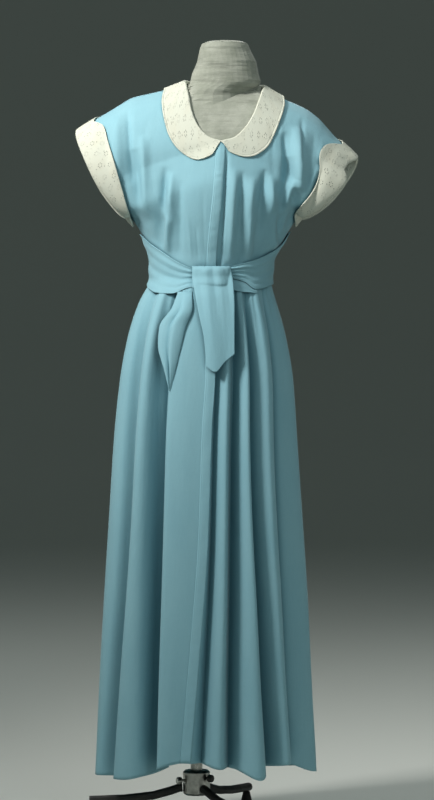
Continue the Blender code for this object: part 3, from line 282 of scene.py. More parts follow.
# Smaller creases of the bodice: start x, start height, end x, end height, width, reach in mm
BODICE_CREASES = {
    FRONT: (
        (-0.250, 1.492, -0.246, 1.430, 0.006, -1.8),
        (-0.214, 1.515, -0.206, 1.360, 0.006, -1.6),
        (-0.178, 1.500, -0.172, 1.300, 0.008, 1.2),
        (-0.150, 1.470, -0.140, 1.250, 0.006, -1.2),
        (-0.132, 1.340, -0.118, 1.190, 0.005, -1.4),
        (-0.104, 1.300, -0.098, 1.175, 0.004, 1.3),
        (-0.078, 1.310, -0.072, 1.175, 0.004, -1.3),
        (-0.060, 1.270, -0.052, 1.175, 0.004, 1.2),
        (-0.044, 1.250, -0.038, 1.175, 0.0035, -1.0),
        (-0.030, 1.330, -0.026, 1.190, 0.004, -0.8),
        (0.020, 1.300, 0.012, 1.180, 0.004, 1.0),
        (0.042, 1.280, 0.034, 1.175, 0.004, -1.3),
        (0.066, 1.300, 0.058, 1.180, 0.004, -1.2),
        (0.094, 1.330, 0.086, 1.185, 0.0045, 1.3),
        (0.104, 1.260, 0.098, 1.190, 0.004, -1.1),
        (0.112, 1.470, 0.118, 1.330, 0.006, -1.4),
        (0.133, 1.480, 0.134, 1.330, 0.005, 1.3),
        (0.152, 1.455, 0.153, 1.300, 0.005, -1.8),
        (0.176, 1.465, 0.170, 1.300, 0.006, 1.5),
        (0.204, 1.455, 0.188, 1.310, 0.006, -1.8),
        (0.222, 1.440, 0.206, 1.330, 0.006, 1.4),
        (0.240, 1.428, 0.228, 1.350, 0.006, -1.4),
    ),
    BACK: (
        (-0.230, 1.480, -0.214, 1.360, 0.006, -1.6),
        (-0.188, 1.480, -0.172, 1.300, 0.007, 1.4),
        (-0.150, 1.440, -0.130, 1.250, 0.006, -1.4),
        (-0.110, 1.320, -0.098, 1.190, 0.005, 1.3),
        (-0.082, 1.290, -0.072, 1.180, 0.004, -1.2),
        (-0.040, 1.300, -0.034, 1.180, 0.004, -1.2),
        (-0.018, 1.270, -0.015, 1.175, 0.004, 1.1),
        (0.024, 1.290, 0.018, 1.180, 0.004, -1.2),
        (0.046, 1.270, 0.038, 1.180, 0.004, 1.2),
        (0.078, 1.300, 0.068, 1.185, 0.005, -1.3),
        (0.118, 1.330, 0.104, 1.200, 0.005, 1.2),
        (0.150, 1.450, 0.132, 1.260, 0.006, 1.4),
        (0.184, 1.470, 0.168, 1.300, 0.007, -1.5),
        (0.226, 1.430, 0.208, 1.330, 0.006, 1.4),
    ),
}

# How much deeper the cloth's folds are than the solid's
BODICE_DEEPER = 1.9
# How far a fold may draw in: height, depth
FOLD_ROOM = ((1.150, 0.004), (1.220, 0.006), (1.260, 0.009), (1.340, 0.016), (1.480, 0.022))

# Smaller creases of the skirt: angle and share of its length at the top, angle and share at
# the bottom, width in degrees at the top and the bottom, reach in mm
SKIRT_CREASES = (
    (-84, 0.02, -82, 0.30, 1.2, 2.0, -1.6),
    (-78, 0.00, -79, 0.22, 1.0, 2.0, 1.4),
    (-66, 0.00, -64, 0.45, 1.2, 2.6, -2.2),
    (-60, 0.01, -57, 0.30, 1.1, 2.2, 1.6),
    (-50, 0.00, -47, 0.38, 1.0, 2.2, -2.0),
    (-46, 0.00, -46, 0.20, 0.9, 1.6, 1.8),
    (-38, 0.00, -36, 0.30, 0.9, 1.8, -2.4),
    (-34, 0.00, -33, 0.42, 0.9, 2.0, 1.8),
    (-25, 0.00, -25, 0.24, 0.8, 1.4, -1.8),
    (-20, 0.00, -19, 0.34, 0.8, 1.6, -1.8),
    (-16, 0.00, -15, 0.20, 0.7, 1.2, 1.6),
    (3, 0.00, 1, 0.22, 0.7, 1.2, 1.6),
    (11, 0.00, 8, 0.30, 0.8, 1.6, -2.0),
    (18, 0.00, 15, 0.42, 0.8, 1.8, -2.2),
    (21, 0.00, 19, 0.26, 0.7, 1.4, 1.8),
    (26, 0.00, 23, 0.36, 0.8, 1.8, 2.0),
    (32, 0.00, 30, 0.50, 0.9, 2.0, -2.4),
    (40, 0.00, 37, 0.34, 0.9, 2.0, 2.0),
    (43, 0.00, 39, 0.24, 0.8, 1.6, -1.8),
    (51, 0.00, 47, 0.46, 1.0, 2.4, -2.2),
    (56, 0.00, 52, 0.30, 1.0, 2.0, 1.8),
    (66, 0.00, 62, 0.40, 1.1, 2.4, -2.0),
    (80, 0.00, 80, 0.26, 1.1, 2.0, 1.8),
    (100, 0.00, 99, 0.34, 1.2, 2.4, -2.0),
    (114, 0.00, 113, 0.26, 1.2, 2.2, 1.8),
    (130, 0.00, 129, 0.44, 1.2, 2.4, -2.2),
    (147, 0.00, 146, 0.30, 1.2, 2.2, 2.0),
    (164, 0.00, 163, 0.40, 1.2, 2.4, -2.2),
    (181, 0.00, 181, 0.28, 1.2, 2.2, 2.0),
    (197, 0.00, 198, 0.46, 1.2, 2.4, -2.2),
    (214, 0.00, 215, 0.30, 1.2, 2.2, 1.8),
    (230, 0.00, 231, 0.40, 1.2, 2.4, -2.0),
    (247, 0.00, 247, 0.26, 1.2, 2.2, 1.8),
    (263, 0.00, 263, 0.34, 1.2, 2.4, -1.8),
)

# Hidden buttons of the fly: distance between them and height of the top one
BUTTON_STEP = 0.098
BUTTON_TOP = 1.385
# Height where the strip slips flat under the collar, and its rise on the fronts
STRIP_LOW_AT = 1.388
STRIP_END_RISE = 0.415

# How much deeper the cloth's folds are than the solid's: height, factor
FOLD_DEEPER = ((0.115, 1.35), (0.400, 1.50), (0.680, 1.60), (0.900, 2.00), (1.040, 2.60), (1.100, 2.20),
               (WAIST, 1.0))
# The same round the body: angle, factor
DEEPER_ROUND = ((-90, 1.0), (-60, 1.5), (-45, 1.5), (-29, 1.35), (-10, 1.0), (0, 0.70), (9, 0.80),
                (16, 1.2), (60, 1.3), (90, 1.0), (270, 1.0))
# Share of the form with sharp troughs and round crests; the rest is a soft wave
FOLD_SHARPNESS = 0.75

# Grooves along the troughs: height, depth in mm, half width in degrees
GROOVE = ((0.115, 13, 2.6), (0.400, 13, 2.6), (0.680, 12, 2.7), (0.950, 9, 2.7), (1.060, 5, 2.6),
          (WAIST, 0, 2.4))
# How deep each is beside the others, from the left side round the front and the back
GROOVE_FACTORS = (0.5, 1.4, 2.2, 0.1, 1.0, 1.2, 1.6, 0.6, 0.9, 1.0, 1.0, 1.1, 0.7, 0.3)
# How far left of the trough each groove starts, in half widths
GROOVE_LEFT = (1.0, 2.6, 3.5, 1.0, 1.6, 1.6, 1.6, 1.0, 1.6, 1.6, 1.6, 1.6, 1.2, 1.0)
# How far right of the trough it ends, and the steepness of its walls
GROOVE_RIGHT = 0.15
GROOVE_WALL = 0.60

# Turn of the collar over the neckline's edge: distance off the edge, lift
COLLAR_TURN = ((0.0017, -0.0048), (0.0021, -0.0028), (0.0022, -0.0010), (0.0017, 0.0010))

# Narrow bound edge of the collar: place, width and height of its roll, and of the stitches beside it
BINDING = (0.0018, 0.0014, 0.0007)
STITCHES = (0.0045, 0.0008, -0.0005)

# Steps of the fine shells
BODICE_LOW_ROWS, BODICE_HIGH_ROWS = 44, 84
# Share of the bodice's width where its side starts, and the columns before and after it
SIDE_START, FRONT_COLUMNS, SIDE_COLUMNS = 0.72, 62, 26
STRIP_HIGH_ROWS = 50
CUFF_STEPS = 96
STRIP_COLUMNS = 25
SASH_ROWS, SASH_COLUMNS = 46, 380
KNOT_ROWS, KNOT_COLUMNS = 46, 60
UNDER_ROWS, UNDER_COLUMNS = 12, 60
SIDE_TAIL_ROWS, SIDE_TAIL_COLUMNS = 90, 34
SKIRT_ROW_COUNT = 150
SKIRT_SPLIT = 17
# How much closer its columns stand towards a trough
TROUGH_CLOSER = 1.7
STRIP_SPLIT = 6
# Rounds of smoothing of the rows near the underarm and of the cuffs' lumps, and halvings of
# the search for a place on the front
EASING, IRONING, HALVINGS = 60, 40, 30


def srgb(red, green, blue):
    """Screen colour of 0 to 255 as the linear one that a material holds."""
    def linear(value):
        share = value / 255
        return share / 12.92 if share <= 0.04045 else ((share + 0.055) / 1.055) ** 2.4
    return (linear(red), linear(green), linear(blue), 1.0)


def softened(share):
    """Share from 0 to 1 with a level start and end."""
    return share * share * (3 - 2 * share)


def smooth(at, places, values):
    """Cubic curve through the points, with slopes limited so that it never overshoots."""
    places = np.asarray(places, float)
    values = np.asarray(values, float)
    at = np.clip(np.asarray(at, float), places[0], places[-1])
    step = np.diff(places)
    rate = np.diff(values) / step
    slope = np.zeros_like(values)
    same = rate[:-1] * rate[1:] > 0
    total = np.where(same, rate[:-1] + rate[1:], 1.0)
    slope[1:-1] = np.where(same, 2 * rate[:-1] * rate[1:] / total, 0.0)
    slope[0], slope[-1] = rate[0], rate[-1]
    spot = np.clip(np.searchsorted(places, at, side="right") - 1, 0, len(step) - 1)
    s = (at - places[spot]) / step[spot]
    start = values[spot] * (1 + 2 * s) * (1 - s) ** 2 + slope[spot] * step[spot] * s * (1 - s) ** 2
    end = values[spot + 1] * s * s * (3 - 2 * s) + slope[spot + 1] * step[spot] * s * s * (s - 1)
    return start + end


def curve(table, at, column=1):
    """One column of a table, as a smooth curve over its first column."""
    rows = np.asarray(table, float)
    if rows[0, 0] > rows[-1, 0]:
        rows = rows[::-1]
    return smooth(at, rows[:, 0], rows[:, column])


def ring(angle, height, lift=0.0):
    """Point of the dress's base surface at an angle in radians and a height."""
    left, right = curve(BODY, height, 1), curve(BODY, height, 2)
    depth = np.where(np.cos(angle) > 0, curve(BODY, height, 3), curve(BODY, height, 4))
    x = (left + right) / 2 + ((right - left) / 2 + lift) * np.sin(angle)
    y = -(depth + lift) * np.cos(angle)
    return np.stack(np.broadcast_arrays(x, y, height), axis=-1)


def angle_at(x, height):
    """Angle of the ring where the front of the dress has this x."""
    left, right = curve(BODY, height, 1), curve(BODY, height, 2)
    return np.arcsin(np.clip((x - (left + right) / 2) * 2 / (right - left), -1, 1))


def inner_edge(side, face, rise):
    """Centre line of the bodice up to the neckline, then the neckline to the shoulder."""
    start = NECK_RISE[face]
    line = CHEST if face == FRONT else SPINE
    below = np.clip(rise / start, 0, 1)
    low = np.clip(1 + rise, 0, 1)
    height = np.where(rise < 0, WAIST + (ARM_LEVEL - WAIST) * low,
                      line[0][0] + (line[-1][0] - line[0][0]) * below)
    if face == FRONT:
        x = curve(CLOSING, height)
    else:
        x = BACK_CENTRE[0] + (BACK_CENTRE[1] - BACK_CENTRE[0]) * below
    y = face * curve(line, height)
    neck = np.clip((rise - start) / (1 - start), 0, 1)
    table = NECKLINE[side, face]
    on_neck = rise > start
    x = np.where(on_neck, curve(table, neck, 1), x)
    y = np.where(on_neck, curve(table, neck, 2), y)
    height = np.where(on_neck, curve(table, neck, 3), height)
    return x, y, height


def outer_edge(side, face, rise):
    """Side seam of the bodice up to the underarm, then the sleeve's hem to the shoulder."""
    tip_x, tip_z, bow = SLEEVE[side]
    low_x = float(curve(BODY, ARM_LEVEL, 1 if side == LEFT else 2))
    turn = math.pi * (1 - np.clip(rise, 0, 1))
    share = (1 + np.cos(turn)) / 2
    run_x, run_z = tip_x - low_x, tip_z - ARM_LEVEL
    length = math.hypot(run_x, run_z)
    out_x, out_z = side * abs(run_z) / length, -abs(run_x) / length
    x = low_x + run_x * share + bow * out_x * np.sin(turn)
    z = ARM_LEVEL + run_z * share + bow * out_z * np.sin(turn)
    if side == RIGHT and face == FRONT:
        x = x - curve(MOUTH, 1 - np.clip(rise, 0, 1))
    return x, face * SLEEVE_DEPTH * np.sin(turn), z


def bodice_base(side, face, rise, across):
    """Base surface of the bodice. Rise is -1 at the waist, 0 at the underarm and 1 on the
    shoulder line; across is 0 on the centre or neckline and 1 on the side seam or sleeve hem."""
    rise, across = np.broadcast_arrays(np.asarray(rise, float), np.asarray(across, float))
    in_x, in_y, in_z = inner_edge(side, face, rise)
    out_x, out_y, out_z = outer_edge(side, face, rise)
    level = np.where(rise < 0, in_z, ARM_LEVEL)
    left, right = curve(BODY, level, 1), curve(BODY, level, 2)
    centre, half = (left + right) / 2, (right - left) / 2
    side_x = left if side == LEFT else right
    start_x = np.where(rise < 0, in_x, float(curve(CLOSING, ARM_LEVEL)) if face == FRONT else centre)
    if face == BACK:
        in_x = np.where(rise < 0, centre, in_x)
        start_x = centre
    ring_x = start_x + (side_x - start_x) * across
    round_off = np.sqrt(np.clip(1 - ((ring_x - centre) / half) ** 2, 0, 1))
    depth = curve(BODY, level, 3 if face == FRONT else 4)
    low = np.stack((ring_x, face * depth * round_off, in_z), axis=-1)
    blend = softened(np.clip(rise / 0.5, 0, 1))
    profile = (1 - blend) * round_off + blend * (1 - across ** 2)
    bow = curve(SHOULDER_BOW[side], across) * np.clip(rise, 0, 1) ** 3
    high = np.stack((in_x + (out_x - in_x) * across, out_y + (in_y - out_y) * profile,
                     in_z + (out_z - in_z) * across + bow), axis=-1)
    return np.where((rise < 0)[..., None], low, high)


def surface_normal(point_of, first, second, outward):
    """Unit normal of a surface of two parameters, turned to the side of the outward sign in y."""
    step = 0.004
    a0, a1 = np.clip(first - step, -1, 1), np.clip(first + step, -1, 1)
    b0, b1 = np.clip(second - step, 0, 1), np.clip(second + step, 0, 1)
    along = point_of(a1, second) - point_of(a0, second)
    over = point_of(first, b1) - point_of(first, b0)
    return unit(np.cross(along, over) * outward)


def creases_of(table, points, scale=1.0):
    """Sum of soft straight creases at these points, from their x and height."""
    reach = np.zeros(points.shape[:-1])
    for x1, z1, x2, z2, width, height in table:
        along = np.array((x2 - x1, z2 - z1))
        length = np.linalg.norm(along)
        along = along / length
        dx, dz = points[..., 0] - x1, points[..., 2] - z1
        share = np.clip((dx * along[0] + dz * along[1]) / length, 0, 1)
        aside = dx * along[1] - dz * along[0]
        profile = np.exp(-np.abs(aside / width) ** (1.35 if height < 0 else 2.0))
        reach += height * scale * profile * (1 - np.abs(2 * share - 1) ** 3)
    return reach


def sash_edges(angle):
    """Lower and upper edge of the sash at an angle in degrees, from -9 round the back to -353."""
    return curve(SASH, angle, 1), curve(SASH, angle, 2)


# Folds pressed flat by the sash: start below its upper edge, height they need to rise in full,
# share that stays under it, and how far a ridge may stand out there and above
PRESS_START, PRESS_RISE = 0.006, 0.020
PRESSED_SHARE = 0.25
RIDGE_PRESSED, RIDGE_FREE = 0.0016, 0.02
WAIST_MIDDLE = -0.012
# Sleeve's part under the cuff, where the folds lie calmer: height, distance from the middle
CUFF_LINE = {LEFT: ((1.290, 0.198), (1.470, 0.226)), RIGHT: ((1.275, 0.192), (1.431, 0.240))}
CUFF_LINE_WIDTH = 0.016
UNDER_CUFF_CALM = 0.7


def fold_reach(face, points):
    """Depth of the folds and creases of one face of the bodice, pressed flat under the sash."""
    x, y, height = np.moveaxis(points, -1, 0)
    reach = creases_of(BODICE_FOLDS[face], points, BODICE_DEEPER)
    reach = reach + creases_of(BODICE_CREASES[face], points, 0.001)
    angle = np.degrees(np.arctan2(x - WAIST_MIDDLE, -y))
    _, top = sash_edges(-np.mod(-angle, 360))
    free = softened(np.clip((height - top + PRESS_START) / PRESS_RISE, 0, 1))
    line = np.where(x < 0, curve(CUFF_LINE[LEFT], height), curve(CUFF_LINE[RIGHT], height))
    under_cuff = np.clip((np.abs(x) - line) / CUFF_LINE_WIDTH, 0, 1)
    reach = reach * (PRESSED_SHARE + (1 - PRESSED_SHARE) * free) * (1 - UNDER_CUFF_CALM * under_cuff)
    room = curve(FOLD_ROOM, height)
    inward = -room * np.tanh(np.maximum(-reach, 0) / room)
    return np.where(reach < 0, inward, np.minimum(reach, RIDGE_PRESSED + RIDGE_FREE * free))


def bodice_cloth(side, face, rise, across):
    """Surface of the bodice with its folds."""
    base = bodice_base(side, face, rise, across)
    normal = surface_normal(lambda a, b: bodice_base(side, face, a, b), rise, across, side * face)
    edge = np.clip(np.minimum(across, 1 - across) / 0.05, 0, 1) * np.clip((1 - rise) / 0.2, 0, 1)
    return base + normal * (fold_reach(face, base) * edge)[..., None]


def bodice_normal(side, face, rise, across):
    """Outward normal of the folded bodice."""
    return surface_normal(lambda a, b: bodice_cloth(side, face, a, b), rise, across, side * face)


def cloth_and_normal(side, face, rise, across):
    """Surface of the folded bodice and its outward normal."""
    return bodice_cloth(side, face, rise, across), bodice_normal(side, face, rise, across)


def place_on_front(side, x, height):
    """Rise and across of the front points with these x and heights."""
    x, height = np.broadcast_arrays(np.asarray(x, float), np.asarray(height, float))
    low, high = np.zeros(x.shape), np.ones(x.shape)
    for _ in range(HALVINGS):
        rise = (low + high) / 2
        in_x, _, _ = inner_edge(side, FRONT, rise)
        out_x, _, _ = outer_edge(side, FRONT, rise)
        across = np.clip((x - in_x) / (out_x - in_x), 0, 1)
        below = bodice_base(side, FRONT, rise, across)[..., 2] < height
        low, high = np.where(below, rise, low), np.where(below, high, rise)
    return rise, across


def front_grid(x, height, lift):
    """Points in front of the dress with this x and height, lifted off its base surface."""
    return ring(angle_at(x, height), height, lift)


def knot_lift(x, height):
    """Lift of the knot's outer face, rounded towards its edges."""
    u = (x - KNOT_X[0]) / (KNOT_X[1] - KNOT_X[0]) * 2 - 1
    v = (height - KNOT_Z[0]) / (KNOT_Z[1] - KNOT_Z[0]) * 2 - 1
    crown = np.clip(1 - u ** 4, 0, 1) * np.clip(1 - v ** 4, 0, 1)
    return SASH_LIFT + 2 * SASH_WALL + SEAM_GAP + 0.0024 + KNOT_BULGE * crown


def unit(vectors):
    """Vectors brought to a length of 1."""
    return vectors / np.maximum(np.linalg.norm(vectors, axis=-1, keepdims=True), 1e-12)


def grid_normals(grid):
    """Unit normals of a grid of points, turned away from the upright line through the body."""
    normal = unit(np.cross(np.gradient(grid, axis=1), np.gradient(grid, axis=0)))
    return -normal if np.sum(normal[..., :2] * grid[..., :2]) < 0 else normal


def flat_of(grid):
    """Place of every point on the flat cloth: length along its row and down its column."""
    across = np.linalg.norm(np.diff(grid, axis=1), axis=-1)
    down = np.linalg.norm(np.diff(grid, axis=0), axis=-1)
    u = np.concatenate((np.zeros((grid.shape[0], 1)), np.cumsum(across, axis=1)), axis=1)
    v = np.concatenate((np.zeros((1, grid.shape[1])), np.cumsum(down, axis=0)), axis=0)
    return np.stack((u, v), axis=-1)


def shell(name, outer, inner, material, wrap=False):
    """Closed thin wall between two grids of points, with its place on the flat cloth as UV;
    wrap joins the last column to the first."""
    rows, cols = outer.shape[:2]
    count = rows * cols
    flat = flat_of(np.concatenate((outer, outer[:, :1]), axis=1) if wrap else outer)
    points = np.vstack((outer.reshape(-1, 3), inner.reshape(-1, 3)))
    spans = cols if wrap else cols - 1
    i, j = (part.ravel() for part in np.meshgrid(np.arange(rows - 1), np.arange(spans), indexing="ij"))
    corners = ((i, j), (i, j + 1), (i + 1, j + 1), (i + 1, j))
    face = np.stack([row * cols + col % cols for row, col in corners], axis=-1)
    place = np.stack([flat[row, col] for row, col in corners], axis=1)
    faces = [face, face[:, ::-1] + count]
    places = [place, place[:, ::-1]]

    def rim(row_a, col_a, row_b, col_b):
        a, b = row_a * cols + col_a % cols, row_b * cols + col_b % cols
        near, far = flat[row_a, col_a], flat[row_b, col_b]
        faces.append(np.stack((b, a, a + count, b + count), axis=-1))
        places.append(np.stack((far, near, near, far), axis=1))

    step, first = np.arange(spans), np.zeros(spans, int)
    rim(first, step, first, step + 1)
    rim(first + rows - 1, step + 1, first + rows - 1, step)
    if not wrap:
        step, first = np.arange(rows - 1), np.zeros(rows - 1, int)
        rim(step + 1, first, step, first)
        rim(step, first + cols - 1, step + 1, first + cols - 1)
    faces, places = np.concatenate(faces), np.concatenate(places)
    a, b, c, d = (points[faces[:, corner]] for corner in range(4))
    volume = np.sum(a * (np.cross(b, c) + np.cross(c, d))) / 6
    if volume < 0:
        faces, places = faces[:, ::-1], places[:, ::-1]
    return mesh_object(name, points, faces, places, material)


def mesh_object(name, points, faces, places, material):
    """Object of four-sided smooth faces, with one UV place for each corner."""
    mesh = bpy.data.meshes.new(name)
    mesh.vertices.add(len(points))
    mesh.vertices.foreach_set("co", points.ravel())
    mesh.loops.add(faces.size)
    mesh.loops.foreach_set("vertex_index", faces.ravel().astype(np.int32))
    mesh.polygons.add(len(faces))
    mesh.polygons.foreach_set("loop_start", np.arange(len(faces), dtype=np.int32) * 4)
    mesh.polygons.foreach_set("use_smooth", np.ones(len(faces), bool))
    layer = mesh.uv_layers.new(name="cloth")
    layer.uv.foreach_set("vector", places.ravel().astype(np.float32))
    mesh.materials.append(material)
    mesh.update(calc_edges=True)
    item = bpy.data.objects.new(name, mesh)
    bpy.context.scene.collection.objects.link(item)
    return item


def add_cloth(name, node, held, outer, inner, material, wrap=False):
    """Make a cloth piece, put it in its solid's place and state its cut: the widest row, the
    longest column and the area that shows, held between 0.3 and 1 of their product."""
    item = shell(name, outer, inner, material, wrap)
    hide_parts(node)
    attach(item, "root")


def bodice_rises():
    """Rises of the fine rows, from the waist to the shoulder line."""
    low = np.linspace(-1, 0, BODICE_LOW_ROWS)
    high = np.linspace(0, 1, BODICE_HIGH_ROWS) ** 0.92
    return np.concatenate((low[:-1], high))


def bodice_columns(rise):
    """Places across a row: even steps, then closer ones round the side below the underarm."""
    middle = np.linspace(0, SIDE_START, FRONT_COLUMNS)
    even = np.linspace(SIDE_START, 1, SIDE_COLUMNS)[1:]
    rounded = np.sin(np.linspace(math.asin(SIDE_START), math.pi / 2, SIDE_COLUMNS))[1:]
    blend = min(max(rise / 0.5, 0), 1)
    return np.concatenate((middle, rounded * (1 - blend) + even * blend))


def eased(grid, rises, across):
    """Grid with its rows smoothed near the underarm level, but not at the seams."""
    weight = np.exp(-(rises / 0.10) ** 2)[1:-1, None] * (1 - across[1:-1] ** 8)
    for _ in range(EASING):
        middle = (grid[:-2] + 2 * grid[1:-1] + grid[2:]) / 4
        grid[1:-1] += (middle - grid[1:-1]) * weight[..., None]
    return grid


def make_bodice(cotton):
    """Four quarters of the bodice, each with its cap sleeve."""
    rises = bodice_rises()
    for side, face, node in ((LEFT, FRONT, "bodice_front_left"), (RIGHT, FRONT, "bodice_front_right"),
                             (LEFT, BACK, "bodice_back_left"), (RIGHT, BACK, "bodice_back_right")):
        across = np.array([bodice_columns(rise) for rise in rises])
        rise = np.repeat(rises[:, None], across.shape[1], axis=1)
        outer = eased(bodice_cloth(side, face, rise, across), rises, across)
        add_cloth(node + "_cloth", node, "draped", outer, outer - grid_normals(outer) * WALL, cotton)


# Lift of the fly strip: at its stitched left edge, added at its free edge, swell between the
# hidden buttons, and where it is tucked under the collar
STRIP_LIFT, STRIP_FREE, STRIP_SWELL, STRIP_TUCKED = 0.0009, 0.0013, 0.0006, 0.0006
# Its stitched line: depth, place across from -1 to 1, width
STRIP_SEAM = (0.0005, -0.62, 0.07)
# Level rumples of the strip: reach, waves as radians a metre, slant across, shift
FINE_RUMPLE = (0.00045, 470, 0.5, 0.0)
SOFT_RUMPLE = (0.00035, 297, -0.4, 1.1)
# Where the strip is rumpled more: height below which it grows, and height it grows over
RUMPLED_BELOW, RUMPLE_GROWTH = 0.62, 0.40


def strip_puckers(height):
    """Draw of the hidden buttons on the fly strip: 1 at a button, 0 half-way between."""
    phase = (BUTTON_TOP - height) / BUTTON_STEP
    return (0.5 + 0.5 * np.cos(2 * math.pi * phase)) ** 2


def strip_lift(turn, height):
    """Lift of the strip's outer face: stitched down at the left, free at the right edge, with
    puckers at the hidden buttons and short rumples between them."""
    stitched = softened(np.clip((turn + 1) / 0.28, 0, 1))
    uneven = np.clip(np.sin(height * 61 + 0.8) + 0.6 * np.sin(height * 23 + 2.0), 0, 1.4)
    fine, soft = (reach * np.sin(height * waves + slant * turn + shift)
                  for reach, waves, slant, shift in (FINE_RUMPLE, SOFT_RUMPLE))
    rumple = fine * uneven + soft
    rumple = rumple * (0.6 + 1.6 * np.clip((RUMPLED_BELOW - height) / RUMPLE_GROWTH, 0, 1))
    swell = STRIP_SWELL * (1 - strip_puckers(height)) * (1 - turn ** 2)
    seam_depth, seam_at, seam_width = STRIP_SEAM
    seam = -seam_depth * np.exp(-((turn - seam_at) / seam_width) ** 2)
    lift = STRIP_LIFT + STRIP_FREE * stitched + swell + seam + rumple * (1 - turn ** 2)
    top = np.clip((height - STRIP_LOW_AT) / 0.02, 0, 1)
    return lift * (1 - top) + STRIP_TUCKED * top


def make_bodice_strip(cotton):
    """Fly strip of the bodice, laid on both fronts."""
    rises = np.concatenate((np.linspace(-1, 0, BODICE_LOW_ROWS)[:-1],
                            np.linspace(0, STRIP_END_RISE, STRIP_HIGH_ROWS)))
    turns = np.linspace(-1, 1, STRIP_COLUMNS)
    rise, turn = np.meshgrid(rises, turns, indexing="ij")
    parts = []
    for side in (LEFT, RIGHT):
        in_x, _, in_z = inner_edge(side, FRONT, rise)
        out_x, _, out_z = outer_edge(side, FRONT, rise)
        side_x = curve(BODY, in_z, 1 if side == LEFT else 2)
        reach = np.where(rise < 0, np.abs(side_x - in_x), np.hypot(out_x - in_x, out_z - in_z))
        across = np.abs(turn) * STRIP_HALF / reach
        parts.append(cloth_and_normal(side, FRONT, rise, across))
    points, normals = (np.where((turn < 0)[..., None], *both) for both in zip(*parts))
    lift = strip_lift(turn, points[..., 2])[..., None]
    outer = points + normals * lift
    add_cloth("fly_strip_bodice", "placket_bodice", "draped", outer, points + normals * SEAM_GAP, cotton)


def fold_creases(height):
    """Angles and reaches of the skirt's creases at some heights, in radians and metres:
    one row for each height, one column for each crest or trough."""
    height = np.atleast_1d(np.asarray(height, float))
    strip_at = angle_at(curve(CLOSING, height), height)
    half_width = (curve(BODY, height, 2) - curve(BODY, height, 1)) / 2
    strip_reach = smooth(height, FOLD_HEIGHTS, STRIP_REACH[::-1])
    angles, reaches = [], []

    def add(table):
        for row in table:
            angles.append(np.radians(smooth(height, FOLD_HEIGHTS, row[2::-1])))
            reaches.append(smooth(height, FOLD_HEIGHTS, row[5:2:-1]))

    add(FOLDS_LEFT)
    for turn in (-1, 0, 1):
        angles.append(strip_at + turn * STRIP_HALF / half_width)
        reaches.append(strip_reach)
    add(FOLDS_RIGHT)
    add(FOLDS_BACK)
    return np.stack(angles, axis=-1), np.stack(reaches, axis=-1) / 1000


def skirt_columns(height):
    """Angle and reach of every fine column of the skirt at some heights."""
    creases, depths = fold_creases(height)
    angles, reaches = [], []
    for place in range(creases.shape[1] - 1):
        on_strip = len(FOLDS_LEFT) <= place < len(FOLDS_LEFT) + 2
        steps = STRIP_SPLIT if on_strip else SKIRT_SPLIT
        rising = depths[:, place + 1] > depths[:, place]
        shares = np.arange(steps) / steps
        if not on_strip:
            shares = shares ** TROUGH_CLOSER if rising[0] else 1 - (1 - shares) ** TROUGH_CLOSER
        for share in shares:
            up, down = math.sin(math.pi / 2 * share), 1 - math.sin(math.pi / 2 * (1 - share))
            sharp = np.where(rising, up, down)
            soft = (1 - math.cos(math.pi * share)) / 2
            ease = FOLD_SHARPNESS * sharp + (1 - FOLD_SHARPNESS) * soft
            angles.append(creases[:, place] * (1 - share) + creases[:, place + 1] * share)
            reaches.append(depths[:, place] * (1 - ease) + depths[:, place + 1] * ease)
    angles, reaches = np.stack(angles, axis=-1), np.stack(reaches, axis=-1)
    deeper = curve(FOLD_DEEPER, np.atleast_1d(height))[:, None]
    return angles, reaches * deeper * smooth(np.degrees(angles), *np.array(DEEPER_ROUND).T)


def skirt_grooves(angle, height):
    """Grooves along the skirt's troughs, in metres, at the angles of one row: each is a level
    floor between two steep walls."""
    creases, depths = fold_creases(height)
    troughs = [place for place in range(creases.shape[1]) if depths[0, place] < 0]
    column = np.arange(len(angle))
    reach = np.zeros(len(angle))
    for place, factor, left in zip(troughs, GROOVE_FACTORS, GROOVE_LEFT):
        middle = creases[column, place]
        width = np.radians(curve(GROOVE, height, 2))
        depth = curve(GROOVE, height, 1) / 1000 * factor
        aside = (angle - middle) / width
        walls = np.tanh((aside + left) / GROOVE_WALL) - np.tanh((aside - GROOVE_RIGHT) / GROOVE_WALL)
        reach -= depth * walls / 2
    return reach


def skirt_wrinkles(degrees, share):
    """Smaller creases of the skirt that start at the waist and fade downwards, in metres."""
    reach = np.zeros(degrees.shape)
    for top, start, low, end, width_top, width_low, depth in SKIRT_CREASES:
        along = np.clip((share - start) / (end - start), 0, 1)
        middle = top + (low - top) * along
        width = width_top + (width_low - width_top) * along
        fade = np.where((share < end), (1 - along) ** 1.3, 0.0) * np.clip(0.25 + share / 0.04, 0, 1)
        reach += depth / 1000 * fade * np.exp(-((degrees - middle) / width) ** 2)
    return reach


def skirt_grid():
    """Fine grid of the skirt from the waist to the hem, its last column on its first one."""
    hem_angles, _ = skirt_columns(FOLD_HEIGHTS[0])
    hem = curve(HEM, np.degrees(hem_angles[0]))
    column = np.arange(len(hem))
    shares = np.linspace(0, 1, SKIRT_ROW_COUNT) ** 1.08
    rows = []
    for share in shares:
        height = WAIST + (hem - WAIST) * share
        angles, reaches = skirt_columns(height)
        angle, reach = angles[column, column], reaches[column, column]
        reach = reach + skirt_wrinkles(np.degrees(angle), np.full_like(angle, share))
        reach = reach + skirt_grooves(angle, height)
        rows.append(ring(angle, height, reach))
    grid = np.array(rows)
    return np.concatenate((grid, grid[:, :1]), axis=1)


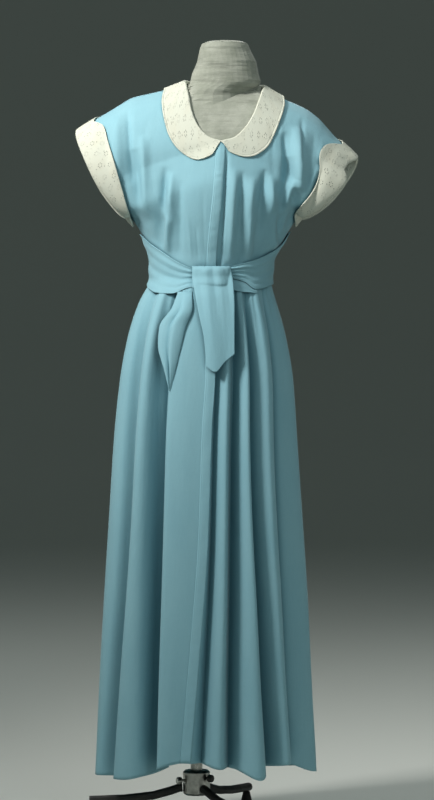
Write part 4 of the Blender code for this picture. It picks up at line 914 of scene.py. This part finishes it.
def make_skirt(cotton):
    """Two skirt fronts, the back and the fly strip between the fronts."""
    grid = skirt_grid()
    normals = grid_normals(grid)
    strip = len(FOLDS_LEFT) * SKIRT_SPLIT + STRIP_SPLIT
    right = strip + STRIP_SPLIT + len(FOLDS_RIGHT) * SKIRT_SPLIT
    for node, start, end in (("skirt_front_left", 0, strip), ("skirt_front_right", strip, right),
                             ("skirt_back", right, grid.shape[1] - 1)):
        outer = grid[:, start:end + 1]
        inner = outer - normals[:, start:end + 1] * WALL
        add_cloth(node + "_cloth", node, "gathered", outer, inner, cotton)
    turns = np.linspace(-1, 1, 2 * STRIP_SPLIT + 1)
    cut = slice(strip - STRIP_SPLIT, strip + STRIP_SPLIT + 1)
    fine = np.linspace(-1, 1, STRIP_COLUMNS)
    base = spread(grid[:, cut], turns, fine)
    facing = spread(normals[:, cut], turns, fine)
    lift = strip_lift(fine[None, :], base[..., 2])[..., None]
    outer = base + facing * lift
    add_cloth("fly_strip_skirt", "placket_skirt", "hung", outer, base + facing * SEAM_GAP, cotton)


def spread(grid, at, wanted):
    """Grid with its columns read again at other places, in straight steps."""
    spot = np.clip(np.searchsorted(at, wanted, side="right") - 1, 0, len(at) - 2)
    share = ((wanted - at[spot]) / (at[spot + 1] - at[spot]))[None, :, None]
    return grid[:, spot] * (1 - share) + grid[:, spot + 1] * share


def make_collar(node, side, eyelet):
    """Collar half with a narrow bound edge, laid on the bodice."""
    width = np.concatenate((np.linspace(0, 0.06, 4)[:-1], np.linspace(0.06, 0.86, 20)[:-1],
                            np.linspace(0.86, 1, 15)))
    share = np.linspace(0, 1, 90)[:, None] ** 1.15
    rise = NECK_RISE[FRONT] + (1 - NECK_RISE[FRONT]) * share
    in_x, _, in_z = inner_edge(side, FRONT, rise)
    edge_x, edge_z = curve(COLLAR_EDGE[side], share, 1), curve(COLLAR_EDGE[side], share, 2)
    rises, across = place_on_front(side, in_x + (edge_x - in_x) * width, in_z + (edge_z - in_z) * width)
    rises[-1], across[-1] = 1.0, across[-1, -1] * width
    rises[:, 0], across[:, 0] = rise[:, 0], 0
    front = cloth_and_normal(side, FRONT, rises, across)
    share = np.linspace(0, 1, 50)[1:, None]
    inner_rise = 1 - (1 - NECK_RISE[BACK]) * share
    edge_rise, edge_across = curve(COLLAR_BACK, share, 1), curve(COLLAR_BACK, share, 2)
    edge_across[-1] = 0
    rises = inner_rise + (edge_rise - inner_rise) * width
    across = edge_across * width
    back = cloth_and_normal(side, BACK, rises, across)
    points, normals = (np.concatenate(both) for both in zip(front, back))
    length = np.arange(len(points))[:, None]
    back_lift = COLLAR_BACK_LIFT * np.clip((length - BACK_LIFT_ROW) / BACK_LIFT_ROWS, 0, 1)
    lift = LAYER_GAP + back_lift + COLLAR_EDGE_LIFT * width
    reach = np.linalg.norm(points[:, -1] - points[:, 0], axis=-1, keepdims=True)
    from_edge = (1 - width) * reach
    bound, seam = (rise * np.exp(-((from_edge - at) / broad) ** 2)
                   for at, broad, rise in (BINDING, STITCHES))
    wave = COLLAR_WAVE * np.sin(length * COLLAR_WAVE_STEP + side) * width ** 2
    inner = points + normals * (lift + wave)[..., None]
    outer = points + normals * (lift + wave + COLLAR_WALL - 0.0004 + bound + seam)[..., None]
    away = unit(points[:, :1] - points[:, 2:3])
    turned, thin = (np.concatenate([points[:, :1] + away * (out - thinner) + normals[:, :1] * (up - lower)
                                    for out, up in COLLAR_TURN], axis=1)
                    for thinner, lower in ((0, 0), (0.0010, 0.0002)))
    outer, inner = np.concatenate((turned, outer), axis=1), np.concatenate((thin, inner), axis=1)
    add_cloth(node + "_cloth", node, "laid", outer, inner, eyelet)


def cuff_place(side, face, rise, share):
    """Rise and across of cuff points, from the sleeve's hem to the cuff's free edge."""
    turn = 1 - rise
    in_x, _, in_z = inner_edge(side, FRONT, rise)
    out_x, _, out_z = outer_edge(side, FRONT, rise)
    reach = np.hypot(out_x - in_x, out_z - in_z)
    wide = curve(CUFF_SHAPE[face], turn) * CUFF_WIDTH / reach * curve(CUFF_INWARD, turn)
    return rise - curve(CUFF_DROP, turn) * share, 1 - wide * share


def cuff_half(side, face, turn, distance, lift):
    """Points of one half of a cuff, from its turn round the sleeve and its section."""
    rise = 1 - turn
    hem = bodice_cloth(side, face, rise, np.ones_like(rise))
    near_rise, near_across = cuff_place(side, face, rise, 0.06)
    near = bodice_cloth(side, face, near_rise, near_across)
    outward = unit(hem - near)
    along = bodice_cloth(side, face, np.clip(rise + 0.01, 0, 1), np.ones_like(rise))
    along = along - bodice_cloth(side, face, np.clip(rise - 0.01, 0, 1), np.ones_like(rise))
    at_end = ((turn <= 0) | (turn >= 1))[..., None]
    along = np.where(at_end, np.array((0.0, 1.0, 0.0)), along)
    hem_normal = unit(np.cross(outward, along))
    facing = bodice_normal(side, face, near_rise, near_across)
    hem_normal *= np.sign(np.sum(hem_normal * facing, axis=-1, keepdims=True))
    loose = 1 + CUFF_LOOSE * np.clip((turn - 0.36) / 0.22, 0, 1)
    lift = lift * loose
    folded = hem - outward * (distance * loose)[..., None] + hem_normal * lift[..., None]
    share = np.maximum(distance, 0) / CUFF_WIDTH
    spot, normal = cloth_and_normal(side, face, *cuff_place(side, face, rise, share))
    mix = np.clip(distance / 0.02, 0, 1)[..., None]
    normal = hem_normal * (1 - mix) + normal * mix
    normal[..., 1] = np.where(at_end[..., 0], 0, normal[..., 1])
    laid = spot + unit(normal) * lift[..., None]
    return np.where((distance <= 0)[..., None], folded, laid)


def ironed(points, distance):
    """Cuff half with the lumps along its turn pressed out, but not at its fold, notch and seam."""
    place = np.linspace(0, 1, len(points))[1:-1, None]
    weight = np.clip(np.minimum(place, 1 - place) / 0.14 - 0.4, 0, 1)
    weight = weight * np.clip((distance - 0.010) / 0.015, 0, 1)
    for _ in range(IRONING):
        middle = (points[:-2] + 2 * points[1:-1] + points[2:]) / 4
        points[1:-1] += (middle - points[1:-1]) * weight[..., None]
    return points


def make_cuff(node, side, eyelet):
    """Cuff folded back over the sleeve's hem, a closed loop with a notch on the shoulder."""
    place = np.arange(len(CUFF_SECTION))
    fine = np.concatenate((np.linspace(0, 1, 6)[:-1], np.linspace(1, 3, 16)[:-1],
                           np.linspace(3, 5.7, 18)[:-1], np.linspace(5.7, 6, 10)))
    section = np.array([smooth(fine, place, column) for column in np.array(CUFF_SECTION).T])
    turns = 1 - np.linspace(0, 1, CUFF_STEPS) ** 0.92
    grids = []
    for distance, lift in ((section[0], section[1]), (section[2], section[3])):
        parts = []
        for face, turn in ((FRONT, turns[::-1][:-1]), (BACK, turns[:-1])):
            turn_grid = np.repeat(turn[:, None], len(fine), axis=1)
            half = cuff_half(side, face, turn_grid, np.broadcast_to(distance, turn_grid.shape),
                             np.broadcast_to(lift, turn_grid.shape))
            parts.append(ironed(half, distance[None, :]))
        grids.append(np.concatenate(parts).transpose(1, 0, 2))
    add_cloth(node + "_cloth", node, "folded", *grids, eyelet, wrap=True)


# Rise of the sash's two soft rolls and of its folded edges
SASH_ROLL, SASH_HEM = 0.0012, 0.0004
# Lengthwise creases of the sash: share of its width at the left of the knot, at the side and
# at the right of the knot, width as a share, reach in mm
SASH_CREASES = (
    (0.10, 0.06, 0.12, 0.050, 0.9),
    (0.22, 0.16, 0.20, 0.045, -1.2),
    (0.34, 0.30, 0.31, 0.050, 1.1),
    (0.47, 0.42, 0.43, 0.045, -1.3),
    (0.58, 0.55, 0.56, 0.050, 1.2),
    (0.70, 0.68, 0.67, 0.045, -1.3),
    (0.82, 0.80, 0.79, 0.045, 1.1),
    (0.92, 0.93, 0.91, 0.040, -0.8),
)


def make_sash_band(cotton):
    """Sash round the waist, creased lengthwise where it is drawn in to the knot."""
    angles = np.linspace(SASH[0][0], SASH[-1][0], SASH_COLUMNS)
    share = np.linspace(0, 1, SASH_ROWS)[:, None]
    low, high = sash_edges(angles)
    height = low + (high - low) * share
    along = (angles[0] - angles) / (angles[0] - angles[-1])
    drawn = np.exp(-along / 0.10) + np.exp(-(1 - along) / 0.10)
    crease = SASH_ROLL * (1 - np.cos(4 * math.pi * share)) / 2
    for left, side, right, width, reach in SASH_CREASES:
        middle = smooth(along, (0, 0.25, 0.75, 1), (left, side, side, right))
        crease = crease + reach / 1000 * (0.25 + drawn) * np.exp(-((share - middle) / width) ** 2)
    hem = SASH_HEM * np.exp(-(np.minimum(share, 1 - share) / 0.05) ** 2)
    outer = ring(np.radians(angles)[None, :], height, SASH_LIFT + SASH_WALL + crease + hem)
    inner = ring(np.radians(angles)[None, :], height, SASH_LIFT + np.minimum(crease, crease * 0.6))
    add_cloth("sash_wrapped", "sash_band", "folded", outer, inner, cotton)


def make_under_layer(cotton):
    """Second turn of the sash that shows below the band, right of the knot."""
    angles = np.linspace(UNDER_LAYER[0][0], UNDER_LAYER[-1][0], UNDER_COLUMNS)
    top = sash_edges(angles - 360)[0] - 5 * SEAM_GAP
    low = np.minimum(curve(UNDER_LAYER, angles), top - UNDER_LAYER_LEAST)
    share = np.linspace(0, 1, UNDER_ROWS)[:, None]
    height = low + (top - low) * share
    crease = 0.0004 * np.sin(share * 9 + angles * 0.06)
    outer = ring(np.radians(angles)[None, :], height, SASH_LIFT + SASH_WALL - 0.0002 + crease)
    inner = ring(np.radians(angles)[None, :], height, SASH_LIFT - 0.0002 + crease * 0.5)
    add_cloth("sash_second_turn", "sash_under", "folded", outer, inner, cotton)


def make_knot(cotton):
    """Knot of the sash, a rounded pad of wrapped cloth."""
    x, height = np.meshgrid(np.linspace(*KNOT_X, KNOT_COLUMNS), np.linspace(*KNOT_Z, KNOT_ROWS))
    u = (x - KNOT_X[0]) / (KNOT_X[1] - KNOT_X[0])
    v = (height - KNOT_Z[0]) / (KNOT_Z[1] - KNOT_Z[0])
    slant = np.cos(2 * math.pi * (KNOT_FOLDS * v + KNOT_SLANT * u))
    fold = KNOT_FOLD_REACH * slant * np.sin(math.pi * u) * np.sin(math.pi * v)
    outer = front_grid(x, height, knot_lift(x, height) + fold)
    inner = front_grid(x, height, np.full_like(x, SASH_LIFT + SASH_WALL + 0.0012 + 0.0006))
    add_cloth("sash_knot_cloth", "sash_knot", "folded", outer, inner, cotton)


# Creases of the wide end below the knot: share of its width at the top and the end, width as
# a share, reach in mm, share of its length where they fade out
TAIL_CREASES = (
    (0.18, 0.06, 0.07, -1.6, 0.75),
    (0.36, 0.26, 0.07, 1.5, 0.85),
    (0.52, 0.50, 0.06, -1.8, 0.60),
    (0.66, 0.72, 0.07, 1.4, 0.90),
    (0.84, 0.93, 0.06, -1.5, 0.70),
)


# How far the wide end stands off what it hangs over
TAIL_CLEAR = 0.0018


def make_front_tail(cotton):
    """Wide end of the sash over the knot, with its slanted end."""
    share = np.concatenate((np.linspace(0, 0.22, 30)[:-1], np.linspace(0.22, 1, 70)))[:, None]
    across = np.linspace(0, 1, 44)
    low = curve(TAIL_FRONT_END, across)
    height = KNOT_Z[1] + (low - KNOT_Z[1]) * share
    x = curve(TAIL_FRONT, height, 1) * (1 - across) + curve(TAIL_FRONT, height, 2) * across
    hang = curve(TAIL_FRONT, height, 3) + 0.0015 * np.sin(across * math.pi * 2)
    middle_x, middle_z = np.mean(KNOT_X), np.mean(KNOT_Z)
    over = knot_lift(middle_x + (x - middle_x) * KNOT_WIDER, middle_z + (height - middle_z) * KNOT_WIDER)
    lift = np.maximum(hang, over + 1.5 * LAYER_GAP)
    crease = 0
    for top, end, width, reach, until in TAIL_CREASES:
        fade = np.clip(1 - share / until, 0, 1) * np.clip(share / 0.05, 0, 1)
        middle = top + (end - top) * share
        crease = crease + reach / 1000 * fade * np.exp(-((across - middle) / width) ** 2)
    lift = lift + crease + TAIL_CLEAR
    outer = front_grid(x, height, lift)
    inner = front_grid(x, height, lift - SASH_WALL)
    add_cloth("sash_wide_end", "sash_tail_front", "hung", outer, inner, cotton)


# Fold of the narrow end: share of its width, rise
TAIL_FOLD = ((0, 0.0065), (0.15, 0.0050), (0.30, 0.0010), (0.42, -0.0030), (0.46, -0.0028), (0.52, 0.0030),
             (0.60, 0.0040), (0.80, 0.0020), (1, 0))


def make_side_tail(cotton):
    """Narrow end of the sash, folded and twisted lengthwise, below the band left of the knot."""
    top, low = TAIL_SIDE[-1][0], TAIL_SIDE[0][0]
    share = np.linspace(0, 1, SIDE_TAIL_ROWS)[:, None]
    across = np.linspace(0, 1, SIDE_TAIL_COLUMNS)
    height = np.repeat(top + (low - top) * share, SIDE_TAIL_COLUMNS, axis=1)
    x = curve(TAIL_SIDE, height, 1) * (1 - across) + curve(TAIL_SIDE, height, 2) * across
    edge = sash_edges(np.degrees(angle_at(x[0], height[0])))[0] - 0.0006
    height[0] = np.minimum(edge, top + 0.004)
    grown = np.clip(share / 0.25, 0, 1) * np.clip((1 - share) / 0.25, 0, 1) ** 0.5
    crown = 0.9 * curve(TAIL_SIDE, height, 3) * np.sin(math.pi * across ** 1.35) ** 0.8
    folded = curve(TAIL_FOLD, across) * grown
    base = 0.0105 - 0.0068 * np.exp(-share * 5) + np.maximum(crown + folded, 0)
    outer = front_grid(x, height, base + SASH_WALL)
    inner = front_grid(x, height, base)
    add_cloth("sash_narrow_end", "sash_tail_side", "hung", outer, inner, cotton)


def value_socket(group, name, kind="NodeSocketFloat", default=None, out=False):
    """Named input or output of a node group."""
    socket = group.interface.new_socket(name=name, in_out="OUTPUT" if out else "INPUT", socket_type=kind)
    if default is not None:
        socket.default_value = default
    return socket


class Tree:
    """Short forms for adding and linking nodes."""

    def __init__(self, tree):
        self.tree = tree
        self.place = 0

    def node(self, kind, **settings):
        """New node with these settings."""
        item = self.tree.nodes.new(kind)
        item.location = (self.place % 8 * 220, -(self.place // 8) * 260)
        self.place += 1
        for name, value in settings.items():
            setattr(item, name, value)
        return item

    def join(self, source, target):
        """Link two sockets."""
        self.tree.links.new(source, target)

    def feed(self, socket, value):
        """Link a socket, or set it where the value is a plain one."""
        if isinstance(value, bpy.types.NodeSocket):
            self.join(value, socket)
        else:
            socket.default_value = value

    def math(self, operation, first, second=None):
        """Result of one arithmetic step."""
        item = self.node("ShaderNodeMath", operation=operation)
        for socket, value in zip(item.inputs, (first, second)):
            if value is not None:
                self.feed(socket, value)
        return item.outputs[0]

    def times(self, first, second):
        """Product of two values."""
        return self.math("MULTIPLY", first, second)

    def plus(self, first, second):
        """Sum of two values."""
        return self.math("ADD", first, second)

    def minus(self, first, second):
        """Difference of two values."""
        return self.math("SUBTRACT", first, second)

    def reach(self, first, second):
        """Length of a slanted line with these two legs."""
        return self.math("SQRT", self.plus(self.times(first, first), self.times(second, second)))

    def set_inputs(self, item, **values):
        """Fixed values of a node's inputs, their names written with underlines."""
        for name, value in values.items():
            item.inputs[name.replace("_", " ")].default_value = value

    def noise(self, vector, scale, detail=3.0, rough=0.5):
        """Soft noise between 0 and 1."""
        item = self.node("ShaderNodeTexNoise")
        self.feed(item.inputs["Vector"], vector)
        self.feed(item.inputs["Scale"], scale)
        self.set_inputs(item, Detail=detail, Roughness=rough)
        return item.outputs["Fac"]

    def scaled(self, vector, scale):
        """Vector with each axis multiplied."""
        item = self.node("ShaderNodeVectorMath", operation="MULTIPLY")
        self.feed(item.inputs[0], vector)
        item.inputs[1].default_value = scale
        return item.outputs[0]

    def range(self, value, low, high, to_low=0.0, to_high=1.0):
        """Value brought from one span to another."""
        item = self.node("ShaderNodeMapRange", clamp=True)
        for name, entry in (("Value", value), ("From Min", low), ("From Max", high),
                            ("To Min", to_low), ("To Max", to_high)):
            self.feed(item.inputs[name], entry)
        return item.outputs["Result"]

    def mix(self, share, first, second):
        """Colour between two colours."""
        item = self.node("ShaderNodeMix", data_type="RGBA")
        self.feed(item.inputs["Factor"], share)
        self.feed(item.inputs[6], first)
        self.feed(item.inputs[7], second)
        return item.outputs[2]

    def bump(self, height, strength, distance, normal=None):
        """Normal tilted by a height."""
        item = self.node("ShaderNodeBump")
        self.feed(item.inputs["Height"], height)
        self.set_inputs(item, Strength=strength, Distance=distance)
        if normal is not None:
            self.join(normal, item.inputs["Normal"])
        return item.outputs["Normal"]


def new_group(name, sockets, results):
    """Empty node group that reads a place on the flat cloth and further named values, and puts
    out some named ones: the group, its short forms, its inputs and outputs, and the place's X
    and Y."""
    group = bpy.data.node_groups.new(name, "ShaderNodeTree")
    value_socket(group, "Flat Place", "NodeSocketVector")
    for socket, value in sockets.items():
        value_socket(group, socket, default=value)
    for socket in results:
        value_socket(group, socket, out=True)
    t = Tree(group)
    inputs, outputs = t.node("NodeGroupInput").outputs, t.node("NodeGroupOutput").inputs
    split = t.node("ShaderNodeSeparateXYZ")
    t.join(inputs["Flat Place"], split.inputs[0])
    return group, t, inputs, outputs, split.outputs["X"], split.outputs["Y"]


def weave_group():
    """Plain weave: threads over and under each other, with a few thicker ones. Puts out the
    height of the threads and a shade between 0 and 1."""
    group, t, inputs, outputs, across, down = new_group(
        "plain weave", {"Thread": 0.0006}, ("Height", "Shade"))
    turns = t.math("DIVIDE", math.pi, inputs["Thread"])
    crossing = t.times(t.math("SINE", t.times(across, turns)), t.math("SINE", t.times(down, turns)))
    slub, slub_across = (t.noise(t.scaled(inputs["Flat Place"], fine), 1.0, 2.0)
                         for fine in ((900, 30, 1), (30, 900, 1)))
    both = t.plus(slub, slub_across)
    t.join(t.plus(t.times(crossing, 0.5), both), outputs["Height"])
    t.join(t.range(both, 0.7, 1.3), outputs["Shade"])
    return group


# Single holes along a metre
LONE_HOLES = 62.0


def eyelet_group():
    """Worked eyelets: rings of six holes on a staggered lattice, with single holes between.
    Puts out a mask of the holes and one of their stitched rims."""
    group, t, inputs, outputs, flat_x, flat_y = new_group(
        "worked eyelets", {"Across": 0.0260, "Down": 0.0200, "Ring": 0.0042, "Hole Size": 0.00085},
        ("Hole", "Rim"))
    row_place = t.math("DIVIDE", flat_y, inputs["Down"])
    shift = t.times(t.math("MODULO", t.math("FLOOR", row_place), 2.0), 0.5)
    across = t.plus(t.math("DIVIDE", flat_x, inputs["Across"]), shift)

    def centred(value, size):
        return t.times(t.minus(t.math("FRACT", value), 0.5), size)

    x = centred(across, inputs["Across"])
    y = centred(row_place, inputs["Down"])
    turn = t.plus(t.math("ARCTAN2", y, x), 4 * math.pi)
    sector = t.minus(t.math("MODULO", turn, math.pi / 3), math.pi / 6)
    reach = t.reach(x, y)
    along = t.minus(t.times(reach, t.math("COSINE", sector)), inputs["Ring"])
    aside = t.times(reach, t.math("SINE", sector))
    petal = t.reach(along, aside)
    single = t.node("ShaderNodeTexVoronoi", voronoi_dimensions="2D")
    t.join(inputs["Flat Place"], single.inputs["Vector"])
    single.inputs["Scale"].default_value = LONE_HOLES
    lone = t.times(single.outputs["Distance"], 1 / LONE_HOLES)
    clear = t.range(reach, 0.0062, 0.0070, 0.01, 0.0)
    near = t.math("MINIMUM", petal, t.plus(lone, clear))
    size = inputs["Hole Size"]
    hole = t.range(near, t.times(size, 1.15), t.times(size, 0.8))
    rim = t.range(near, t.times(size, 2.2), t.times(size, 1.2))
    t.join(hole, outputs["Hole"])
    t.join(rim, outputs["Rim"])
    return group


# How near a fold's other side must be for painted shade to darken the cotton's colour
FOLD_SHADE_REACH = 0.06


def new_material(name):
    """Empty material, with the short forms for its nodes and its Principled shader."""
    material = bpy.data.materials.new(name)
    material.use_nodes = True
    return material, Tree(material.node_tree), material.node_tree.nodes["Principled BSDF"]


def woven_ground(t, weave, thread):
    """Place on the flat cloth, and the weave's node with threads this far apart."""
    flat = t.node("ShaderNodeUVMap", uv_map="cloth").outputs["UV"]
    threads = t.node("ShaderNodeGroup", node_tree=weave)
    t.join(flat, threads.inputs["Flat Place"])
    t.set_inputs(threads, Thread=thread)
    return flat, threads.outputs


def cotton_material(weave):
    """Light blue plain cotton, a little faded, with soft wrinkles and painted shade deep in its folds."""
    material, t, shader = new_material("light blue cotton")
    place = t.node("ShaderNodeTexCoord").outputs["Object"]
    _, threads = woven_ground(t, weave, 0.0007)
    faded = t.noise(place, 4.0, 3.0)
    worn = t.noise(t.scaled(place, (1, 1, 0.35)), 26.0, 4.0)
    colour = t.mix(t.range(faded, 0.3, 0.7), srgb(130, 177, 190), srgb(138, 184, 196))
    colour = t.mix(t.times(t.range(worn, 0.35, 0.75), 0.35), colour, srgb(146, 190, 200))
    colour = t.mix(t.times(threads["Shade"], 0.18), colour, srgb(116, 164, 178))
    # Painted shade: the colour turns dark teal where nearby cloth closes in, deep in the folds
    painted_fold_shade = t.node("ShaderNodeAmbientOcclusion", samples=8)
    t.set_inputs(painted_fold_shade, Distance=FOLD_SHADE_REACH)
    colour = t.mix(t.range(painted_fold_shade.outputs["AO"], 0.25, 0.85, 0.75, 0.0), colour, srgb(58, 110, 124))
    t.join(colour, shader.inputs["Base Color"])
    t.set_inputs(shader, Roughness=0.82, Specular_IOR_Level=0.25, Sheen_Weight=0.12, Sheen_Roughness=0.4)
    soft = t.noise(t.scaled(place, (1, 1, 0.22)), 34.0, 4.0, 0.55)
    small = t.noise(t.scaled(place, (1, 1, 0.6)), 150.0, 3.0, 0.6)
    wrinkled = t.bump(soft, 0.35, 0.004)
    wrinkled = t.bump(small, 0.15, 0.0012, wrinkled)
    t.join(t.bump(threads["Height"], 0.25, 0.0002, wrinkled), shader.inputs["Normal"])
    return material


def eyelet_material(weave):
    """White cotton with worked eyelets, painted shade in their holes."""
    material, t, shader = new_material("white eyelet cotton")
    flat, threads = woven_ground(t, weave, 0.0006)
    holes = t.node("ShaderNodeGroup", node_tree=eyelet_group())
    t.join(flat, holes.inputs["Flat Place"])
    shade = t.times(threads["Shade"], 0.15)
    colour = t.mix(shade, srgb(204, 208, 194), srgb(186, 190, 175))
    stain = t.noise(flat, 24.0, 3.0)
    colour = t.mix(t.times(t.range(stain, 0.45, 0.75), 0.25), colour, srgb(196, 188, 164))
    # Painted shade: the holes are coloured dark grey-green for the shade seen through them, more in some
    # places than in others
    hole_shade_share = t.range(t.noise(flat, 38.0, 2.0), 0.44, 0.56, 0.12, 0.85)
    colour = t.mix(t.times(holes.outputs["Hole"], hole_shade_share), colour, srgb(84, 92, 84))
    t.join(colour, shader.inputs["Base Color"])
    t.set_inputs(shader, Roughness=0.85, Specular_IOR_Level=0.2)
    height = t.minus(holes.outputs["Rim"], t.times(holes.outputs["Hole"], 1.6))
    normal = t.bump(height, 0.6, 0.0006)
    t.join(t.bump(threads["Height"], 0.2, 0.0002, normal), shader.inputs["Normal"])
    return material


def jersey_material():
    """Grey jersey over the form, with fine level creases and painted shade along them."""
    material, t, shader = new_material("grey jersey")
    place = t.node("ShaderNodeTexCoord").outputs["Object"]
    blotch = t.noise(place, 30.0, 5.0, 0.62)
    crease = t.noise(t.scaled(place, (9, 9, 70)), 1.0, 4.0, 0.55)
    knit = t.noise(t.scaled(place, (900, 900, 500)), 1.0, 2.0)
    level = t.noise(t.scaled(place, (8, 8, 110)), 1.0, 3.0)
    colour = t.mix(t.range(blotch, 0.3, 0.7), srgb(134, 140, 126), srgb(166, 170, 158))
    colour = t.mix(t.times(t.range(knit, 0.35, 0.65), 0.3), colour, srgb(128, 132, 124))
    # Painted shade: the colour darkens along the level creases
    painted_crease_shade = t.times(t.range(crease, 0.42, 0.30), 0.5)
    colour = t.mix(painted_crease_shade, colour, srgb(92, 96, 86))
    t.join(colour, shader.inputs["Base Color"])
    t.set_inputs(shader, Roughness=0.92, Sheen_Weight=0.2)
    normal = t.bump(level, 0.5, 0.004)
    normal = t.bump(crease, 0.5, 0.006, normal)
    t.join(t.bump(knit, 0.3, 0.0006, normal), shader.inputs["Normal"])
    return material


def plain_material(name, colour, darker, roughness, metallic, grain):
    """Metal, paint or rubber with small marks and an uneven gloss."""
    material, t, shader = new_material(name)
    place = t.node("ShaderNodeTexCoord").outputs["Object"]
    marks = t.noise(place, grain, 5.0, 0.6)
    t.join(t.mix(t.range(marks, 0.35, 0.7), srgb(*colour), srgb(*darker)), shader.inputs["Base Color"])
    t.join(t.range(marks, 0.3, 0.7, roughness, roughness + 0.18), shader.inputs["Roughness"])
    shader.inputs["Metallic"].default_value = metallic
    t.join(t.bump(marks, 0.12, 0.0005), shader.inputs["Normal"])
    return material


def dress_node(name, material):
    """Give a carried-over solid its material."""
    solid = bpy.data.objects[name]
    solid.data.materials.clear()
    solid.data.materials.append(material)


# Round floor that turns up into the wall: distance from the middle, height
STAGE = ((0.01, 0.0), (5.0, 0.0), (11.0, 0.0), (12.2, 0.15), (13.2, 0.6), (13.8, 1.3), (14.0, 2.2),
         (14.0, 9.0))
STAGE_SIDES = 96


def make_stage():
    """Plain pale round floor that runs up into a wall all round."""
    reach, height = np.array(STAGE).T[:, :, None]
    angle = np.linspace(0, 2 * math.pi, STAGE_SIDES + 1)
    grid = np.stack(np.broadcast_arrays(reach * np.cos(angle), reach * np.sin(angle), height), axis=-1)
    cols = STAGE_SIDES + 1
    first = (np.arange(len(STAGE) - 1)[:, None] * cols + np.arange(STAGE_SIDES)).ravel()
    index = np.stack((first, first + cols, first + cols + 1, first + 1), axis=-1)
    material, t, shader = new_material("pale backdrop")
    t.set_inputs(shader, Base_Color=srgb(214, 218, 212), Roughness=0.95)
    places = grid.reshape(-1, 3)[index][..., :2]
    floor = mesh_object("floor_and_backdrop", grid.reshape(-1, 3), index, places, material)


# Lights: name, place, size, power, spread in degrees, colour
LIGHTS = (
    ("key light", (-1.80, -1.40, 2.80), 0.6, 11.0, 60, (1.0, 0.965, 0.93)),
    ("fill light", (1.4, -4.0, 2.1), 1.5, 6.0, 70, (0.90, 1.0, 1.0)),
    ("top light", (0.0, 0.8, 5.0), 6.0, 90, 170, (0.97, 1.0, 0.98)),
)
LIT_POINT = (0, 0, 1.35)
ROOM_COLOUR, ROOM_STRENGTH = (0.56, 0.68, 0.67, 1), 0.12


def make_lights():
    """Soft key light high on the left, a weak fill, a wide light above and a dim pale room."""
    for name, place, size, power, spread, colour in LIGHTS:
        light = bpy.data.lights.new(name, "AREA")
        light.energy = power
        light.size = size
        light.spread = math.radians(spread)
        light.color = colour
        item = bpy.data.objects.new(name, light)
        item.location = place
        item.rotation_euler = (Vector(LIT_POINT) - Vector(place)).to_track_quat("-Z", "Y").to_euler()
        bpy.context.scene.collection.objects.link(item)
    world = bpy.data.worlds.new("room")
    world.use_nodes = True
    room = world.node_tree.nodes["Background"]
    room.inputs["Color"].default_value = ROOM_COLOUR
    room.inputs["Strength"].default_value = ROOM_STRENGTH
    bpy.context.scene.world = world
    bpy.context.scene.view_settings.view_transform = "Standard"


# Camera level with the hips, straight in front
CAMERA_PLACE = (0.0, -5.6, 0.8904)
CAMERA_LENS = 119.96


def make_camera():
    """Camera at the photo's viewing angle."""
    camera = bpy.data.cameras.new("camera")
    camera.lens = CAMERA_LENS
    camera.sensor_fit = "AUTO"
    item = bpy.data.objects.new("camera", camera)
    item.location = CAMERA_PLACE
    item.rotation_euler = (math.pi / 2, 0, 0)
    bpy.context.scene.collection.objects.link(item)
    bpy.context.scene.camera = item


weave = weave_group()
cotton = cotton_material(weave)
eyelet = eyelet_material(weave)
jersey = jersey_material()
steel = plain_material("bright steel", (196, 196, 190), (150, 150, 144), 0.25, 1.0, 60.0)
paint = plain_material("dark paint", (52, 52, 48), (34, 34, 32), 0.42, 0.0, 50.0)
rubber = plain_material("black rubber", (30, 30, 30), (44, 44, 42), 0.70, 0.0, 90.0)

make_bodice(cotton)
make_bodice_strip(cotton)
make_skirt(cotton)
make_collar("collar_left", LEFT, eyelet)
make_collar("collar_right", RIGHT, eyelet)
make_cuff("cuff_left", LEFT, eyelet)
make_cuff("cuff_right", RIGHT, eyelet)
make_sash_band(cotton)
make_under_layer(cotton)
make_knot(cotton)
make_front_tail(cotton)
make_side_tail(cotton)
for node, material in (("dress_form", jersey), ("stand_post", steel), ("clamp_screw_left", steel),
                       ("clamp_screw_right", paint), ("stand_hub", steel)):
    dress_node(node, material)
for number in (1, 2, 3):
    dress_node(f"stand_leg_{number}", paint)
    dress_node(f"stand_foot_{number}", rubber)
make_stage()
make_lights()
make_camera()
